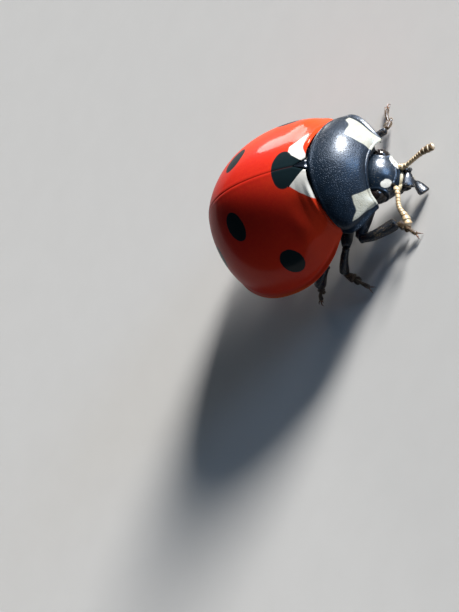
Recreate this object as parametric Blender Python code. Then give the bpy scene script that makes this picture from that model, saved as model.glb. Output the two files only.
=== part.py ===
"""Seven-spot ladybird, Coccinella septempunctata, life size, standing on six legs.

Lengths are in millimetres until an object is made. The animal looks along -Y, its left is +X, and the
floor is at Z = 0. The body is laid out from the base of the wing cases, at Y = 0 on the midline, and an
empty then carries it so that the middle of its outline stands on the origin.
"""

import math

import bmesh
import bpy
from mathutils import Euler, Matrix, Vector

MM = 0.001
GAP = 0.05  # clearance between neighbouring pieces, small because the whole animal is only 7.5 mm long
WALL = 0.5  # thickness of the wing cases and the pronotum
TURNED = math.pi / 2

# Wing cases: one dome over both, parted along the suture.
DOME_HALF_WIDTH = 2.805
DOME_HEIGHT = 2.572
DOME_REAR_Y = 5.373
DOME_WIDEST_Y = 2.342
DOME_BASE_Y = -0.023
DOME_SHOULDER_Y = -0.144
DOME_MARGIN_Z = 1.219
DOME_BASE_RISE = 0.543
DOME_REAR_RISE = 0.1
BASE_WIDTH_RATIO = 0.684
BASE_HEIGHT_RATIO = 0.557
ARCH_POWER = 1.179
DOME_RINGS = 16
DOME_ARCH_STEPS = 11
SCUTELLUM_HALF_WIDTH = 0.17
SCUTELLUM_LENGTH = 0.40
SCUTELLUM_DEPTH = 0.42
SCUTELLUM_CAMBER = 0.02

# Underside of the trunk.
TRUNK_FRONT_Y = 0.02
BELLY_DEPTH = 0.5
BREAST_EXTRA = 0.5  # how much deeper the keel is at the front, as a share of the belly's depth
KEEL_POWER = 1.8
WAIST_Y = 2.25
TRUNK_ARCH_STEPS = 14
KEEL_STEPS = 8

# Pronotum. Its hind edge follows the wing cases, and its front edge is turned with the head.
PRONOTUM_PIVOT = Vector((0.0, -0.1, 2.4))
PRONOTUM_TURN = (0.0, 0.036, -0.055)
HIND_EDGE = {"half_width": 1.88, "side_y": -0.22, "side_z": 1.84, "mid_y": -0.095, "mid_z": 3.235}
FRONT_EDGE = {"half_width": 1.17, "side_y": -1.16, "side_z": 1.23, "mid_y": -1.25, "mid_z": 1.91}
PRONOTUM_SIDE_BULGE = 0.44
PRONOTUM_TOP_BULGE = 0.13
FRONT_WALL = 0.24
PRONOTUM_RINGS = 9
PRONOTUM_ARCH_STEPS = 16
PROTHORAX_START = 0.03
PROTHORAX_REACH = 0.72
PROTHORAX_KEEL_Z = 0.92
PROTHORAX_GAP = 1.5 * GAP

# Head, in its own frame: the face looks along -Y and the mouth is at -Z.
HEAD_PLACE = (-0.08, -0.99, 0.98)
HEAD_TURN = (-0.547, 0.087, -0.081)
HEAD_HALF = Vector((0.84, 0.50, 0.70))
CLYPEUS_Z = -0.50
EYE_HALF = Vector((0.25, 0.27, 0.31))
EYE_PLACE = Vector((0.66, -0.06, 0.07))
CLEARANCE = Vector((GAP, GAP, GAP))
EYE_ROOM = Vector((0.10, 0.02, 0.0))  # how far the eyes stand out of the head
MOUTH_HALF_WIDTH = 0.40
MOUTH_HALF_DEPTH = 0.26
MOUTH_LENGTH = 0.36
MOUTH_FORWARD = -0.06
FACE_NARROWING = 0.22
HEAD_SEGMENTS = 20
EYE_SEGMENTS = 14
MOUTH_SEGMENTS = 12

# Feelers and palps, as lines in the frame of the body.
ANTENNA_RADIUS = 0.24
ANTENNAE = {
    "left": ((0.22, -1.80, 0.87), (0.27, -2.35, 0.79), (0.33, -2.99, 0.74)),
    "right": ((-0.86, -1.66, 0.88), (-1.22, -1.58, 0.70), (-1.74, -1.80, 0.62)),
}
ANTENNA_SHAPE = (0.85, 1.0, 1.0, 1.04, 1.04, 0.7)  # radius along it, as shares of the full radius
PALP_RADIUS = 0.22
PALP_SHAPE = (0.8, 1.0, 1.05, 0.85)
PALPS = {
    "left": ((-0.10, -1.79, 0.46), (-0.24, -1.98, 0.39)),
    "right": ((-0.62, -1.76, 0.52), (-0.74, -2.08, 0.38)),
}

# Legs: hip, knee, ankle and toe of each. The toes rest on the floor.
FEMUR_RADIUS = 0.26
TIBIA_RADIUS = 0.24
TARSUS_RADIUS = 0.24
FEMUR_SHAPE = (0.72, 1.0, 1.08, 1.0, 0.92)
TIBIA_SHAPE = (0.94, 0.98, 1.04, 1.04)
TARSUS_SHAPE = (0.92, 1.1, 0.94, 1.06, 0.6)
TOE_HEIGHT = 0.10
SIDES = 8
CORNER = 0.12  # how far a joint may stand out past its centre
LEGS = {
    "fore_left": ((0.48, -0.42, 0.60), (1.48, 0.03, 0.96), (1.90, -0.70, 0.44), (2.78, -0.53)),
    "mid_left": ((0.75, 0.62, 0.56), (2.00, 0.85, 0.90), (2.40, 1.52, 0.42), (2.92, 1.72)),
    "hind_left": ((0.80, 1.95, 0.50), (2.05, 2.05, 0.79), (2.42, 2.95, 0.40), (2.72, 3.60)),
    "fore_right": ((-0.55, -0.40, 0.62), (-1.76, 0.02, 0.95), (-1.44, -1.12, 0.42), (-1.92, -1.62)),
    "mid_right": ((-0.75, 0.66, 0.56), (-1.84, 0.62, 0.92), (-2.38, 1.20, 0.42), (-3.03, 0.42)),
    "hind_right": ((-0.80, 1.95, 0.50), (-2.05, 1.62, 0.80), (-2.42, 2.30, 0.40), (-2.78, 2.82)),
}

CARRIER = "ladybird"


# ---------------------------------------------------------------- materials


def finish(name, colour, roughness, coat):
    """A Principled material of one colour, with a clear coat for the shine of cuticle."""
    material = bpy.data.materials.new(name)
    material.use_nodes = True
    shader = material.node_tree.nodes["Principled BSDF"]
    shader.inputs["Base Color"].default_value = (*colour, 1.0)
    shader.inputs["Roughness"].default_value = roughness
    shader.inputs["Metallic"].default_value = 0.0
    shader.inputs["Coat Weight"].default_value = coat
    return material


def make_finishes():
    return {
        "red_shell": finish("red_shell", (0.62, 0.03, 0.012), 0.3, 0.6),
        "black_shell": finish("black_shell", (0.008, 0.009, 0.012), 0.25, 0.6),
        "black_underside": finish("black_underside", (0.012, 0.011, 0.012), 0.45, 0.2),
        "black_leg": finish("black_leg", (0.014, 0.012, 0.011), 0.4, 0.2),
        "eye": finish("eye", (0.01, 0.009, 0.01), 0.2, 0.8),
        "brown_feeler": finish("brown_feeler", (0.36, 0.16, 0.05), 0.4, 0.2),
        "mouthparts": finish("mouthparts", (0.02, 0.014, 0.01), 0.35, 0.3),
    }


# ---------------------------------------------------------------- meshes


def join_rings(mesh, rings):
    """Quads between each ring of points and the next."""
    for first, second in zip(rings, rings[1:]):
        for k in range(len(first)):
            following = (k + 1) % len(first)
            mesh.faces.new((first[k], first[following], second[following], second[k]))


def cap_with_centre(mesh, ring, outward):
    """A fan that closes a ring round a point at its middle."""
    middle = sum((vertex.co for vertex in ring), Vector()) / len(ring)
    centre = mesh.verts.new(middle)
    for k in range(len(ring)):
        following = (k + 1) % len(ring)
        pair = (ring[k], ring[following]) if outward else (ring[following], ring[k])
        mesh.faces.new((*pair, centre))


def cap_with_strip(mesh, ring):
    """Closes a crescent, whose outer points come first and whose inner points come back."""
    for k in range(len(ring) // 2 - 1):
        mesh.faces.new((ring[k], ring[k + 1], ring[-2 - k], ring[-1 - k]))


def finish_mesh(name, mesh, origin):
    """Welds collapsed points, turns every face outwards, and puts the mesh in metres round its origin."""
    bmesh.ops.remove_doubles(mesh, verts=mesh.verts, dist=1e-5)
    bmesh.ops.triangulate(mesh, faces=mesh.faces)
    bmesh.ops.recalc_face_normals(mesh, faces=mesh.faces)
    bmesh.ops.transform(mesh, matrix=Matrix.Translation(-Vector(origin)), verts=mesh.verts)
    bmesh.ops.transform(mesh, matrix=Matrix.Scale(MM, 4), verts=mesh.verts)
    data = bpy.data.meshes.new(name)
    mesh.to_mesh(data)
    mesh.free()
    data.shade_smooth()
    data.set_sharp_from_angle(angle=math.radians(40))
    return data


def loft(name, rings, crescent=False, origin=(0.0, 0.0, 0.0)):
    """A closed mesh through rings of points. The ends are closed too, unless they are single points."""
    mesh = bmesh.new()
    placed = [[mesh.verts.new(point) for point in ring] for ring in rings]
    join_rings(mesh, placed)
    for ring, outward in ((placed[0], False), (placed[-1], True)):
        if (ring[0].co - ring[len(ring) // 2].co).length < 1e-6:
            continue
        if crescent:
            cap_with_strip(mesh, ring)
        else:
            cap_with_centre(mesh, ring, outward)
    return finish_mesh(name, mesh, origin)


def place(name, data, material, parent, origin=(0.0, 0.0, 0.0)):
    """One named object, set in its parent's frame."""
    piece = bpy.data.objects.new(name, data)
    bpy.context.scene.collection.objects.link(piece)
    piece.data.materials.append(material)
    piece.parent = parent
    piece.location = Vector(origin) * MM
    return piece


def make_empty(name, parent, origin, turn=(0.0, 0.0, 0.0)):
    empty = bpy.data.objects.new(name, None)
    bpy.context.scene.collection.objects.link(empty)
    empty.parent = parent
    empty.location = Vector(origin) * MM
    empty.rotation_euler = Euler(turn)
    return empty


def steps(count, first=0.0, last=1.0):
    """Evenly spaced values, with both ends."""
    return [first + (last - first) * k / count for k in range(count + 1)]


# ---------------------------------------------------------------- wing cases and trunk


def dome_section(y, shrink):
    """Half width, height and margin level of the dome at y, drawn in by shrink on every side."""
    rear_y = DOME_REAR_Y - shrink
    forward = max((DOME_WIDEST_Y - y) / (DOME_WIDEST_Y - DOME_SHOULDER_Y), 0.0)
    backward = min(max((y - DOME_WIDEST_Y) / (rear_y - DOME_WIDEST_Y), 0.0), 1.0)
    if y < DOME_WIDEST_Y:
        half_width = DOME_HALF_WIDTH * (1 - (1 - BASE_WIDTH_RATIO) * forward**2.2) - shrink
        height = DOME_HEIGHT * (1 - (1 - BASE_HEIGHT_RATIO) * forward**2) - shrink
    else:
        half_width = (DOME_HALF_WIDTH - shrink) * (1 - backward**2.3) ** 0.5
        height = (DOME_HEIGHT - shrink) * (1 - backward**2.1) ** 0.55
    margin_z = DOME_MARGIN_Z + DOME_REAR_RISE * backward**2 + DOME_BASE_RISE * forward**2
    return half_width, height, margin_z


def suture_x(y):
    """How far the inner edge of a wing case lies from the midline, with the notch for the scutellum."""
    notch = max(1 - max(y, 0.0) / SCUTELLUM_LENGTH, 0.0)
    return GAP / 2 + (SCUTELLUM_HALF_WIDTH + GAP) * notch


def dome_point(along, angle, shrink):
    """A point of the left half: along runs from base to tip, angle from the suture to the side."""
    base_y = DOME_BASE_Y + (DOME_SHOULDER_Y - DOME_BASE_Y) * math.sin(angle) ** 2
    y = base_y + along * (DOME_REAR_Y - shrink - base_y)
    half_width, height, margin_z = dome_section(y, shrink)
    inner = suture_x(y)
    x = inner + max(half_width - inner, 0.0) * math.sin(angle) ** ARCH_POWER
    return Vector((x, y, margin_z + height * max(math.cos(angle), 0.0) ** ARCH_POWER))


def elytron(side):
    """One wing case: the outer arch of each ring runs to the margin, and the inner arch comes back."""
    rings = []
    angles = steps(DOME_ARCH_STEPS, 0.0, TURNED)
    for share in steps(DOME_RINGS):
        along = math.sin(share * TURNED) ** 1.15  # closer rings towards the tip
        outer = [dome_point(along, angle, 0.0) for angle in angles]
        inner = [dome_point(along, angle, WALL) for angle in reversed(angles)]
        rings.append([Vector((side * p.x, p.y, p.z)) for p in outer + inner])
    return loft("elytron", rings, crescent=True)


def scutellum():
    """The small triangle between the bases of the wing cases."""
    rings = []
    for y in steps(3, DOME_BASE_Y, SCUTELLUM_LENGTH - 2 * GAP):
        half = SCUTELLUM_HALF_WIDTH * (1 - y / SCUTELLUM_LENGTH)
        _, height, margin_z = dome_section(y, 0.0)
        top = margin_z + height
        rings.append(
            [
                Vector((-half, y, top - SCUTELLUM_CAMBER)),
                Vector((0.0, y, top)),
                Vector((half, y, top - SCUTELLUM_CAMBER)),
                Vector((half, y, top - SCUTELLUM_DEPTH)),
                Vector((-half, y, top - SCUTELLUM_DEPTH)),
            ]
        )
    return loft("scutellum", rings)


def trunk_ring(y, belly):
    """A ring round the body under the wing cases: an arch on top and a shallow keel below."""
    half_width, height, margin_z = dome_section(y, WALL + GAP)
    arch = []
    for angle in steps(TRUNK_ARCH_STEPS, -TURNED, TURNED):
        reach = half_width * abs(math.sin(angle)) ** ARCH_POWER
        rise = height * max(math.cos(angle), 0.0) ** ARCH_POWER
        arch.append(Vector((math.copysign(reach, angle), y, margin_z + rise)))
    keel = []
    for share in steps(KEEL_STEPS, 1.0, -1.0)[1:-1]:
        drop = belly * (1 - abs(share) ** KEEL_POWER)
        keel.append(Vector((half_width * share, y, margin_z - drop)))
    return arch + keel


def thorax():
    """Middle and hind thorax, from the base of the wing cases to the waist."""
    rings = []
    for share in steps(6):
        y = TRUNK_FRONT_Y + share * (WAIST_Y - TRUNK_FRONT_Y)
        breast = BREAST_EXTRA * max(1 - 2 * share, 0.0)
        rings.append(trunk_ring(y, BELLY_DEPTH * (1 + breast)))
    return loft("thorax", rings)


def abdomen():
    """The hind body, from the waist to the tip under the wing cases."""
    rear_y = DOME_REAR_Y - WALL - GAP
    rings = []
    for share in steps(8):
        y = WAIST_Y + GAP + math.sin(share * TURNED) * (rear_y - WAIST_Y - GAP)
        rings.append(trunk_ring(y, BELLY_DEPTH * math.cos(share * TURNED) ** 0.6))
    return loft("abdomen", rings)


# ---------------------------------------------------------------- pronotum and prothorax


def between(name, share):
    """A measure of the pronotum, part of the way from its hind edge to its front edge."""
    return HIND_EDGE[name] + (FRONT_EDGE[name] - HIND_EDGE[name]) * share


def pronotum_ring(share, wall):
    """One arch of the pronotum, drawn in by wall, from the left margin over the top to the right."""
    bulge = math.sin(math.pi * share)
    half_width = between("half_width", share) + PRONOTUM_SIDE_BULGE * bulge * (1 - 0.35 * share) - wall
    side_y = between("side_y", share) - 0.03 * bulge
    side_z = between("side_z", share) + 0.06 * bulge
    mid_y = between("mid_y", share) - PRONOTUM_TOP_BULGE * bulge + 0.35 * wall * share
    mid_z = between("mid_z", share) + PRONOTUM_TOP_BULGE * bulge - wall
    turn = Euler([share * angle for angle in PRONOTUM_TURN]).to_matrix()
    points = []
    for angle in steps(PRONOTUM_ARCH_STEPS, TURNED, -TURNED):
        sine = abs(math.sin(angle))
        rise = max(math.cos(angle), 0.0) ** ARCH_POWER
        x = math.copysign(half_width * sine**ARCH_POWER, angle)
        y = mid_y + (side_y - mid_y) * sine**2
        point = Vector((x, y, side_z + (mid_z - side_z) * rise))
        points.append(turn @ (point - PRONOTUM_PIVOT) + PRONOTUM_PIVOT)
    return points


def pronotum():
    """The shield over the front of the body, thinner at its front edge where the head goes under it."""
    rings = []
    for share in steps(PRONOTUM_RINGS):
        wall = WALL + (FRONT_WALL - WALL) * share
        rings.append(pronotum_ring(share, 0.0) + pronotum_ring(share, wall)[::-1])
    return loft("pronotum", rings, crescent=True, origin=PRONOTUM_PIVOT)


def prothorax():
    """The body inside the pronotum, open to view only from below and in front."""
    rings = []
    for share in steps(6):
        along = PROTHORAX_START + share * PROTHORAX_REACH
        arch = pronotum_ring(along, WALL + (FRONT_WALL - WALL) * along + PROTHORAX_GAP)
        keel = []
        for share_across in steps(KEEL_STEPS, -1.0, 1.0)[1:-1]:
            side = arch[0] if share_across > 0 else arch[-1]
            z = side.z + (PROTHORAX_KEEL_Z - side.z) * (1 - abs(share_across) ** KEEL_POWER)
            keel.append(Vector((abs(side.x) * share_across, side.y, z)))
        rings.append(arch + keel)
    return loft("prothorax", rings, origin=PRONOTUM_PIVOT)


# ---------------------------------------------------------------- head


def oval(half_width, half_depth, z, segments, centre_y=0.0):
    """A level ring round the upright axis of the head or of an eye."""
    angles = steps(segments, 0, 2 * math.pi)[:-1]
    return [Vector((half_width * math.cos(a), centre_y + half_depth * math.sin(a), z)) for a in angles]


def head_half_at(z):
    """Half width and half depth of the head at a height of its own frame, narrower towards the mouth."""
    share = max(1 - (z / HEAD_HALF.z) ** 2, 0.0) ** 0.5
    narrowing = 1 - FACE_NARROWING * max(-z / HEAD_HALF.z, 0.0)
    return HEAD_HALF.x * share * narrowing, HEAD_HALF.y * share**0.9


def head_capsule():
    """The head from its crown down to the front edge of the face."""
    rings = []
    lowest = math.asin(CLYPEUS_Z / HEAD_HALF.z)
    for latitude in steps(10, TURNED, lowest):
        z = HEAD_HALF.z * math.sin(latitude)
        half_width, half_depth = head_half_at(z)
        rings.append(oval(half_width, half_depth, z, HEAD_SEGMENTS))
    return loft("head", rings)


def ellipsoid(name, half):
    """A rounded solid of three half sizes, with its poles up and down."""
    rings = []
    for latitude in steps(8, TURNED, -TURNED):
        flat = math.cos(latitude)
        rings.append(oval(half.x * flat, half.y * flat, half.z * math.sin(latitude), EYE_SEGMENTS))
    return loft(name, rings)


def mouthparts():
    """Upper lip and jaws as one block below the face."""
    rings = []
    for share in steps(4):
        z = CLYPEUS_Z - GAP - share * MOUTH_LENGTH
        half_width = MOUTH_HALF_WIDTH * (1 - 0.45 * share**2)
        half_depth = MOUTH_HALF_DEPTH * (1 - 0.3 * share**2)
        rings.append(oval(half_width, half_depth, z, MOUTH_SEGMENTS, MOUTH_FORWARD))
    return loft("mouthparts", rings)


def make_cutter(name, half, parent, origin=(0.0, 0.0, 0.0)):
    """A helper of round shape that isn't part of the animal."""
    cutter = bpy.data.objects.new(name, ellipsoid(name, half))
    bpy.context.scene.collection.objects.link(cutter)
    cutter.parent = parent
    cutter.location = Vector(origin) * MM
    cutter.hide_render = True
    cutter.display_type = "WIRE"
    return cutter


def cut_away(piece, cutter):
    """Hollows a piece where the cutter is."""
    cut = piece.modifiers.new(cutter.name, "BOOLEAN")
    cut.operation = "DIFFERENCE"
    cut.object = cutter


# ---------------------------------------------------------------- feelers, palps and legs


def across(direction, up=Vector((0.0, 0.0, 1.0))):
    """Two directions square to a limb: level and upright."""
    level = direction.cross(up).normalized()
    return level, level.cross(direction).normalized()


def square_ring(centre, level, upright, radius):
    """A ring of points with two of them level at the bottom, so that a foot stands on a flat."""
    ring = []
    for k in range(SIDES):
        angle = (k + 0.5) * 2 * math.pi / SIDES
        ring.append(centre + level * (radius * math.cos(angle)) + upright * (radius * math.sin(angle)))
    return ring


def reach_to_plane(point, direction, plane_point, normal):
    """How far along a direction a plane lies from a point."""
    return (plane_point - point).dot(normal) / direction.dot(normal)


def limb(name, root, tip, radii, before=None, after=None, floor=None):
    """A tapering limb from root to tip, cut at each joint halfway to the next limb's direction."""
    direction = (tip - root).normalized()
    level, upright = across(direction)
    length = (tip - root).length
    starts = square_ring(root, level, upright, radii[0])
    ends = square_ring(root, level, upright, radii[-1])
    first = [0.0] * SIDES
    last = [length] * SIDES
    if before is not None:
        normal = (direction + before).normalized()
        plane = root + normal * GAP / 2
        first = [max(reach_to_plane(p, direction, plane, normal), -CORNER) for p in starts]
    if after is not None:
        normal = (direction + after).normalized()
        plane = tip - normal * GAP / 2
        last = [min(reach_to_plane(p, direction, plane, normal), length + CORNER) for p in ends]
    rings = []
    for share, radius in zip(steps(len(radii) - 1), radii):
        ring = square_ring(root, level, upright, radius)
        for point, begin, end in zip(ring, first, last):
            point += direction * (begin + (end - begin) * share)
            if floor is not None:
                point.z = max(point.z, floor)
        rings.append(ring)
    return loft(name, rings, origin=root)


def make_leg(key, joints, finishes, parent):
    hip, knee, ankle = (Vector(joint) for joint in joints[:3])
    toe = Vector((*joints[3], TOE_HEIGHT))
    thigh_way = (knee - hip).normalized()
    shin_way = (ankle - knee).normalized()
    foot_way = (toe - ankle).normalized()
    black = finishes["black_leg"]
    thigh = [FEMUR_RADIUS * share for share in FEMUR_SHAPE]
    shin = [TIBIA_RADIUS * share for share in TIBIA_SHAPE]
    foot = [TARSUS_RADIUS * share for share in TARSUS_SHAPE]
    femur = limb("femur", hip, knee, thigh, None, shin_way)
    tibia = limb("tibia", knee, ankle, shin, thigh_way, foot_way)
    tarsus = limb("tarsus", ankle, toe, foot, shin_way, None, floor=0.0)
    place(f"leg_{key}_femur", femur, black, parent, hip)
    place(f"leg_{key}_tibia", tibia, black, parent, knee)
    place(f"leg_{key}_tarsus", tarsus, black, parent, ankle)


def bent_limb(name, line, radii):
    """A short feeler through a few points, without joints."""
    rings = []
    for index, (point, radius) in enumerate(zip(line, radii)):
        ahead = line[min(index + 1, len(line) - 1)]
        behind = line[max(index - 1, 0)]
        level, upright = across((ahead - behind).normalized())
        rings.append(square_ring(point, level, upright, radius))
    return loft(name, rings, origin=line[0])


def smooth_line(points, count):
    """Points along a curve through three given ones."""
    first, middle, last = (Vector(point) for point in points)
    handle = middle * 2 - (first + last) / 2
    return [first * (1 - t) ** 2 + handle * 2 * t * (1 - t) + last * t**2 for t in steps(count)]


# ---------------------------------------------------------------- the whole animal


def clear_scene():
    for item in list(bpy.data.objects):
        bpy.data.objects.remove(item, do_unlink=True)


def make_shell(finishes, carrier):
    red = finishes["red_shell"]
    black = finishes["black_shell"]
    place("elytron_left", elytron(1), red, carrier)
    place("elytron_right", elytron(-1), red, carrier)
    place("scutellum", scutellum(), black, carrier)
    under = finishes["black_underside"]
    place("thorax", thorax(), under, carrier)
    place("abdomen", abdomen(), under, carrier)


def make_head(finishes, carrier):
    """The head in its own frame, with the pronotum and prothorax hollowed where it goes in."""
    frame = make_empty("head_frame", carrier, HEAD_PLACE, HEAD_TURN)
    head = place("head", head_capsule(), finishes["black_shell"], frame)
    for side, sign in (("left", 1), ("right", -1)):
        spot = Vector((sign * EYE_PLACE.x, EYE_PLACE.y, EYE_PLACE.z))
        place("eye_" + side, ellipsoid("eye", EYE_HALF), finishes["eye"], frame, spot)
        cut_away(head, make_cutter("socket_" + side, EYE_HALF + CLEARANCE, frame, spot))
    place("mouthparts", mouthparts(), finishes["mouthparts"], frame)
    room = make_cutter("head_room", HEAD_HALF + CLEARANCE + EYE_ROOM, frame)
    for name, make, material in (
        ("pronotum", pronotum, "black_shell"),
        ("prothorax", prothorax, "black_underside"),
    ):
        piece = place(name, make(), finishes[material], carrier, PRONOTUM_PIVOT)
        cut_away(piece, room)


def make_feelers(finishes, carrier):
    for side, points in ANTENNAE.items():
        line = smooth_line(points, len(ANTENNA_SHAPE) - 1)
        antenna = bent_limb("antenna", line, [ANTENNA_RADIUS * share for share in ANTENNA_SHAPE])
        place("antenna_" + side, antenna, finishes["brown_feeler"], carrier, line[0])
    for side, (root, tip) in PALPS.items():
        line = [Vector(root).lerp(Vector(tip), share) for share in steps(len(PALP_SHAPE) - 1)]
        palp = bent_limb("palp", line, [PALP_RADIUS * share for share in PALP_SHAPE])
        place("palp_" + side, palp, finishes["mouthparts"], carrier, line[0])


def stand_on_origin(carrier):
    """Moves the carrier so that the middle of the animal's outline stands on the origin."""
    bpy.context.view_layer.update()
    corners = [
        piece.matrix_world @ vertex.co
        for piece in bpy.data.objects
        if piece.type == "MESH" and not piece.hide_render
        for vertex in piece.data.vertices
    ]
    low = [min(corner[axis] for corner in corners) for axis in range(3)]
    high = [max(corner[axis] for corner in corners) for axis in range(3)]
    carrier.location = (-(low[0] + high[0]) / 2, -(low[1] + high[1]) / 2, -low[2])
    bpy.context.view_layer.update()


def build():
    clear_scene()
    finishes = make_finishes()
    carrier = make_empty(CARRIER, None, (0.0, 0.0, 0.0))
    make_shell(finishes, carrier)
    make_head(finishes, carrier)
    make_feelers(finishes, carrier)
    for key, joints in LEGS.items():
        make_leg(key, joints, finishes, carrier)
    stand_on_origin(carrier)


build()
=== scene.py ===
import math

import bmesh
import bpy
import numpy as np
from mathutils import Euler, Matrix, Vector


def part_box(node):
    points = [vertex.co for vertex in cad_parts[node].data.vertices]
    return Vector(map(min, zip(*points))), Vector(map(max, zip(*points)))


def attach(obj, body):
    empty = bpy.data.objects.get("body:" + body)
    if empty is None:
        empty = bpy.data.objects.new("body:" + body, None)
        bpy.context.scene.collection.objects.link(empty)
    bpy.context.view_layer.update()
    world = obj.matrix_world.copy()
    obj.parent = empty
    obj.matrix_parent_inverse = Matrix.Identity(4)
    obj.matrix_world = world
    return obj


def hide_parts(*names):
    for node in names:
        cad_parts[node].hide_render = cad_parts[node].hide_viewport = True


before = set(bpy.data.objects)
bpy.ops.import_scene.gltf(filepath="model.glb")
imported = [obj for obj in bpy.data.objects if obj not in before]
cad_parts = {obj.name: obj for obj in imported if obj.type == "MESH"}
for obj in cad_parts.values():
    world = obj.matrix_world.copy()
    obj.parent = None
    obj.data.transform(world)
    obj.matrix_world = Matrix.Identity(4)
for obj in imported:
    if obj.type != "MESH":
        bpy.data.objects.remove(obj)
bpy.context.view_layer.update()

# ---------------------------------------------------------------- wing cases
# Two thin domed shells of hard cuticle that meet along the midline. Each is one ruled dome, laid out by a
# node tree: a grid runs from base to tip, and round from the suture over the margin and back inside. The
# rim, the shoulder knob and the rounded suture are relief on that dome.

MM = 0.001
DOME = {
    "Half width": 2.805,
    "Height": 2.572,
    "Tip": 5.373,
    "Widest": 2.342,
    "Base": -0.023,
    "Shoulder": -0.144,
    "Margin level": 1.219,
    "Base rise": 0.543,
    "Tip rise": 0.1,
    "Base width": 0.684,
    "Base height": 0.557,
    "Arch": 1.179,
    "Suture gap": 0.001,
    "Notch width": 0.195,
    "Notch length": 0.40,
    "Wall": 0.5,
}
SIDES = (("left", 1.0), ("right", -1.0))
LEFT_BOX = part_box("elytron_left")
RIGHT_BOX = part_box("elytron_right")
# The animal is laid out in millimetres from the middle of the wing-case base, and then set in its place.
MIDLINE_X = (LEFT_BOX[0].x + RIGHT_BOX[1].x) / 2
BODY_PLACE = Vector((MIDLINE_X, LEFT_BOX[1].y - DOME["Tip"] * MM, 0.0))
TO_PLACE = Matrix.Translation(BODY_PLACE) @ Matrix.Scale(MM, 4)


class Flow:
    """A value on its way through a node tree, so that a rule for a shape or a colour reads as a sum."""

    def __init__(self, tree, socket):
        self.tree = tree
        self.socket = socket

    def by(self, operation, *others):
        node = self.tree.nodes.new("ShaderNodeMath")
        node.operation = operation
        for entry, value in zip(node.inputs, (self, *others)):
            give(self.tree, entry, value)
        return Flow(self.tree, node.outputs[0])

    def __add__(self, other):
        return self.by("ADD", other)

    def __sub__(self, other):
        return self.by("SUBTRACT", other)

    def __rsub__(self, other):
        return self.by("MULTIPLY", -1.0).by("ADD", other)

    def __mul__(self, other):
        return self.by("MULTIPLY", other)

    def __truediv__(self, other):
        return self.by("DIVIDE", other)

    def __pow__(self, other):
        return self.by("POWER", other)

    def least(self, other):
        return self.by("MAXIMUM", other)

    def most(self, other):
        return self.by("MINIMUM", other)

    def hill(self, centre, width):
        """1 at the centre, falling to nothing about two widths to either side."""
        off = (self - centre) / width
        return (off * off * -1.0).by("EXPONENT")

    def step(self, low, high):
        """0 below low and 1 above high, with a soft change between."""
        entries = {"Value": self, "From Min": low, "From Max": high}
        node = add_node(self.tree, "ShaderNodeMapRange", entries, interpolation_type="SMOOTHSTEP")
        return Flow(self.tree, node.outputs[0])


def give(tree, entry, value):
    if isinstance(value, Flow):
        tree.links.new(value.socket, entry)
    else:
        entry.default_value = value


def add_node(tree, kind, entries, **settings):
    node = tree.nodes.new(kind)
    for name, value in settings.items():
        setattr(node, name, value)
    for name, value in entries.items():
        give(tree, node.inputs[name], value)
    return node


def out(node, name=0):
    """One of a node's outputs, as a flow."""
    return Flow(node.id_data, node.outputs[name])


def split(vector):
    node = add_node(vector.tree, "ShaderNodeSeparateXYZ", {0: vector})
    return out(node, 0), out(node, 1), out(node, 2)


def combined(x, y, z):
    tree = next(part.tree for part in (x, y, z) if isinstance(part, Flow))
    return out(add_node(tree, "ShaderNodeCombineXYZ", {0: x, 1: y, 2: z}))


SOCKETS = {float: "NodeSocketFloat", int: "NodeSocketInt", bpy.types.Material: "NodeSocketMaterial"}


def start_tree(name, sizes):
    """A geometry tree with its sizes as named inputs. Returns it and its inputs by name."""
    tree = bpy.data.node_groups.new(name, "GeometryNodeTree")
    tree.interface.new_socket("Geometry", in_out="OUTPUT", socket_type="NodeSocketGeometry")
    tree.interface.new_socket("Geometry", in_out="INPUT", socket_type="NodeSocketGeometry")
    for label, value in sizes.items():
        item = tree.interface.new_socket(label, in_out="INPUT", socket_type=SOCKETS[type(value)])
        item.default_value = value
    tree.interface.new_socket("Finish", in_out="INPUT", socket_type="NodeSocketMaterial")
    entry = tree.nodes.new("NodeGroupInput")
    flows = {socket.name: Flow(tree, socket) for socket in entry.outputs if socket.name}
    return tree, flows


def end_tree(tree, flows, geometry):
    """Ends a tree in real geometry with its finish on it."""
    real = out(add_node(tree, "GeometryNodeRealizeInstances", {"Geometry": geometry}))
    smooth = out(add_node(tree, "GeometryNodeSetShadeSmooth", {"Geometry": real}))
    entries = {"Geometry": smooth, "Material": flows["Finish"]}
    finished = out(add_node(tree, "GeometryNodeSetMaterial", entries))
    tree.links.new(finished.socket, tree.nodes.new("NodeGroupOutput").inputs[0])


def put_in_scene(name, data):
    thing = bpy.data.objects.new(name, data)
    bpy.context.scene.collection.objects.link(thing)
    return thing


def grow(name, tree, choices, base=None):
    """Runs a tree on a mesh, or on nothing, and keeps what it makes as a plain piece."""
    piece = put_in_scene(name, base or bpy.data.meshes.new(name))
    modifier = piece.modifiers.new(tree.name, "NODES")
    modifier.node_group = tree
    for item in tree.interface.items_tree:
        if item.name in choices and item.in_out == "INPUT":
            modifier[item.identifier] = choices[item.name]
    graph = bpy.context.evaluated_depsgraph_get()
    made = bpy.data.meshes.new_from_object(piece.evaluated_get(graph), depsgraph=graph)
    piece.modifiers.clear()
    piece.data = made
    # A tree leaves an empty first slot before its finish.
    made.materials.clear()
    made.materials.append(choices["Finish"])
    made.polygons.foreach_set("material_index", np.zeros(len(made.polygons), int))
    return piece


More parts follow.
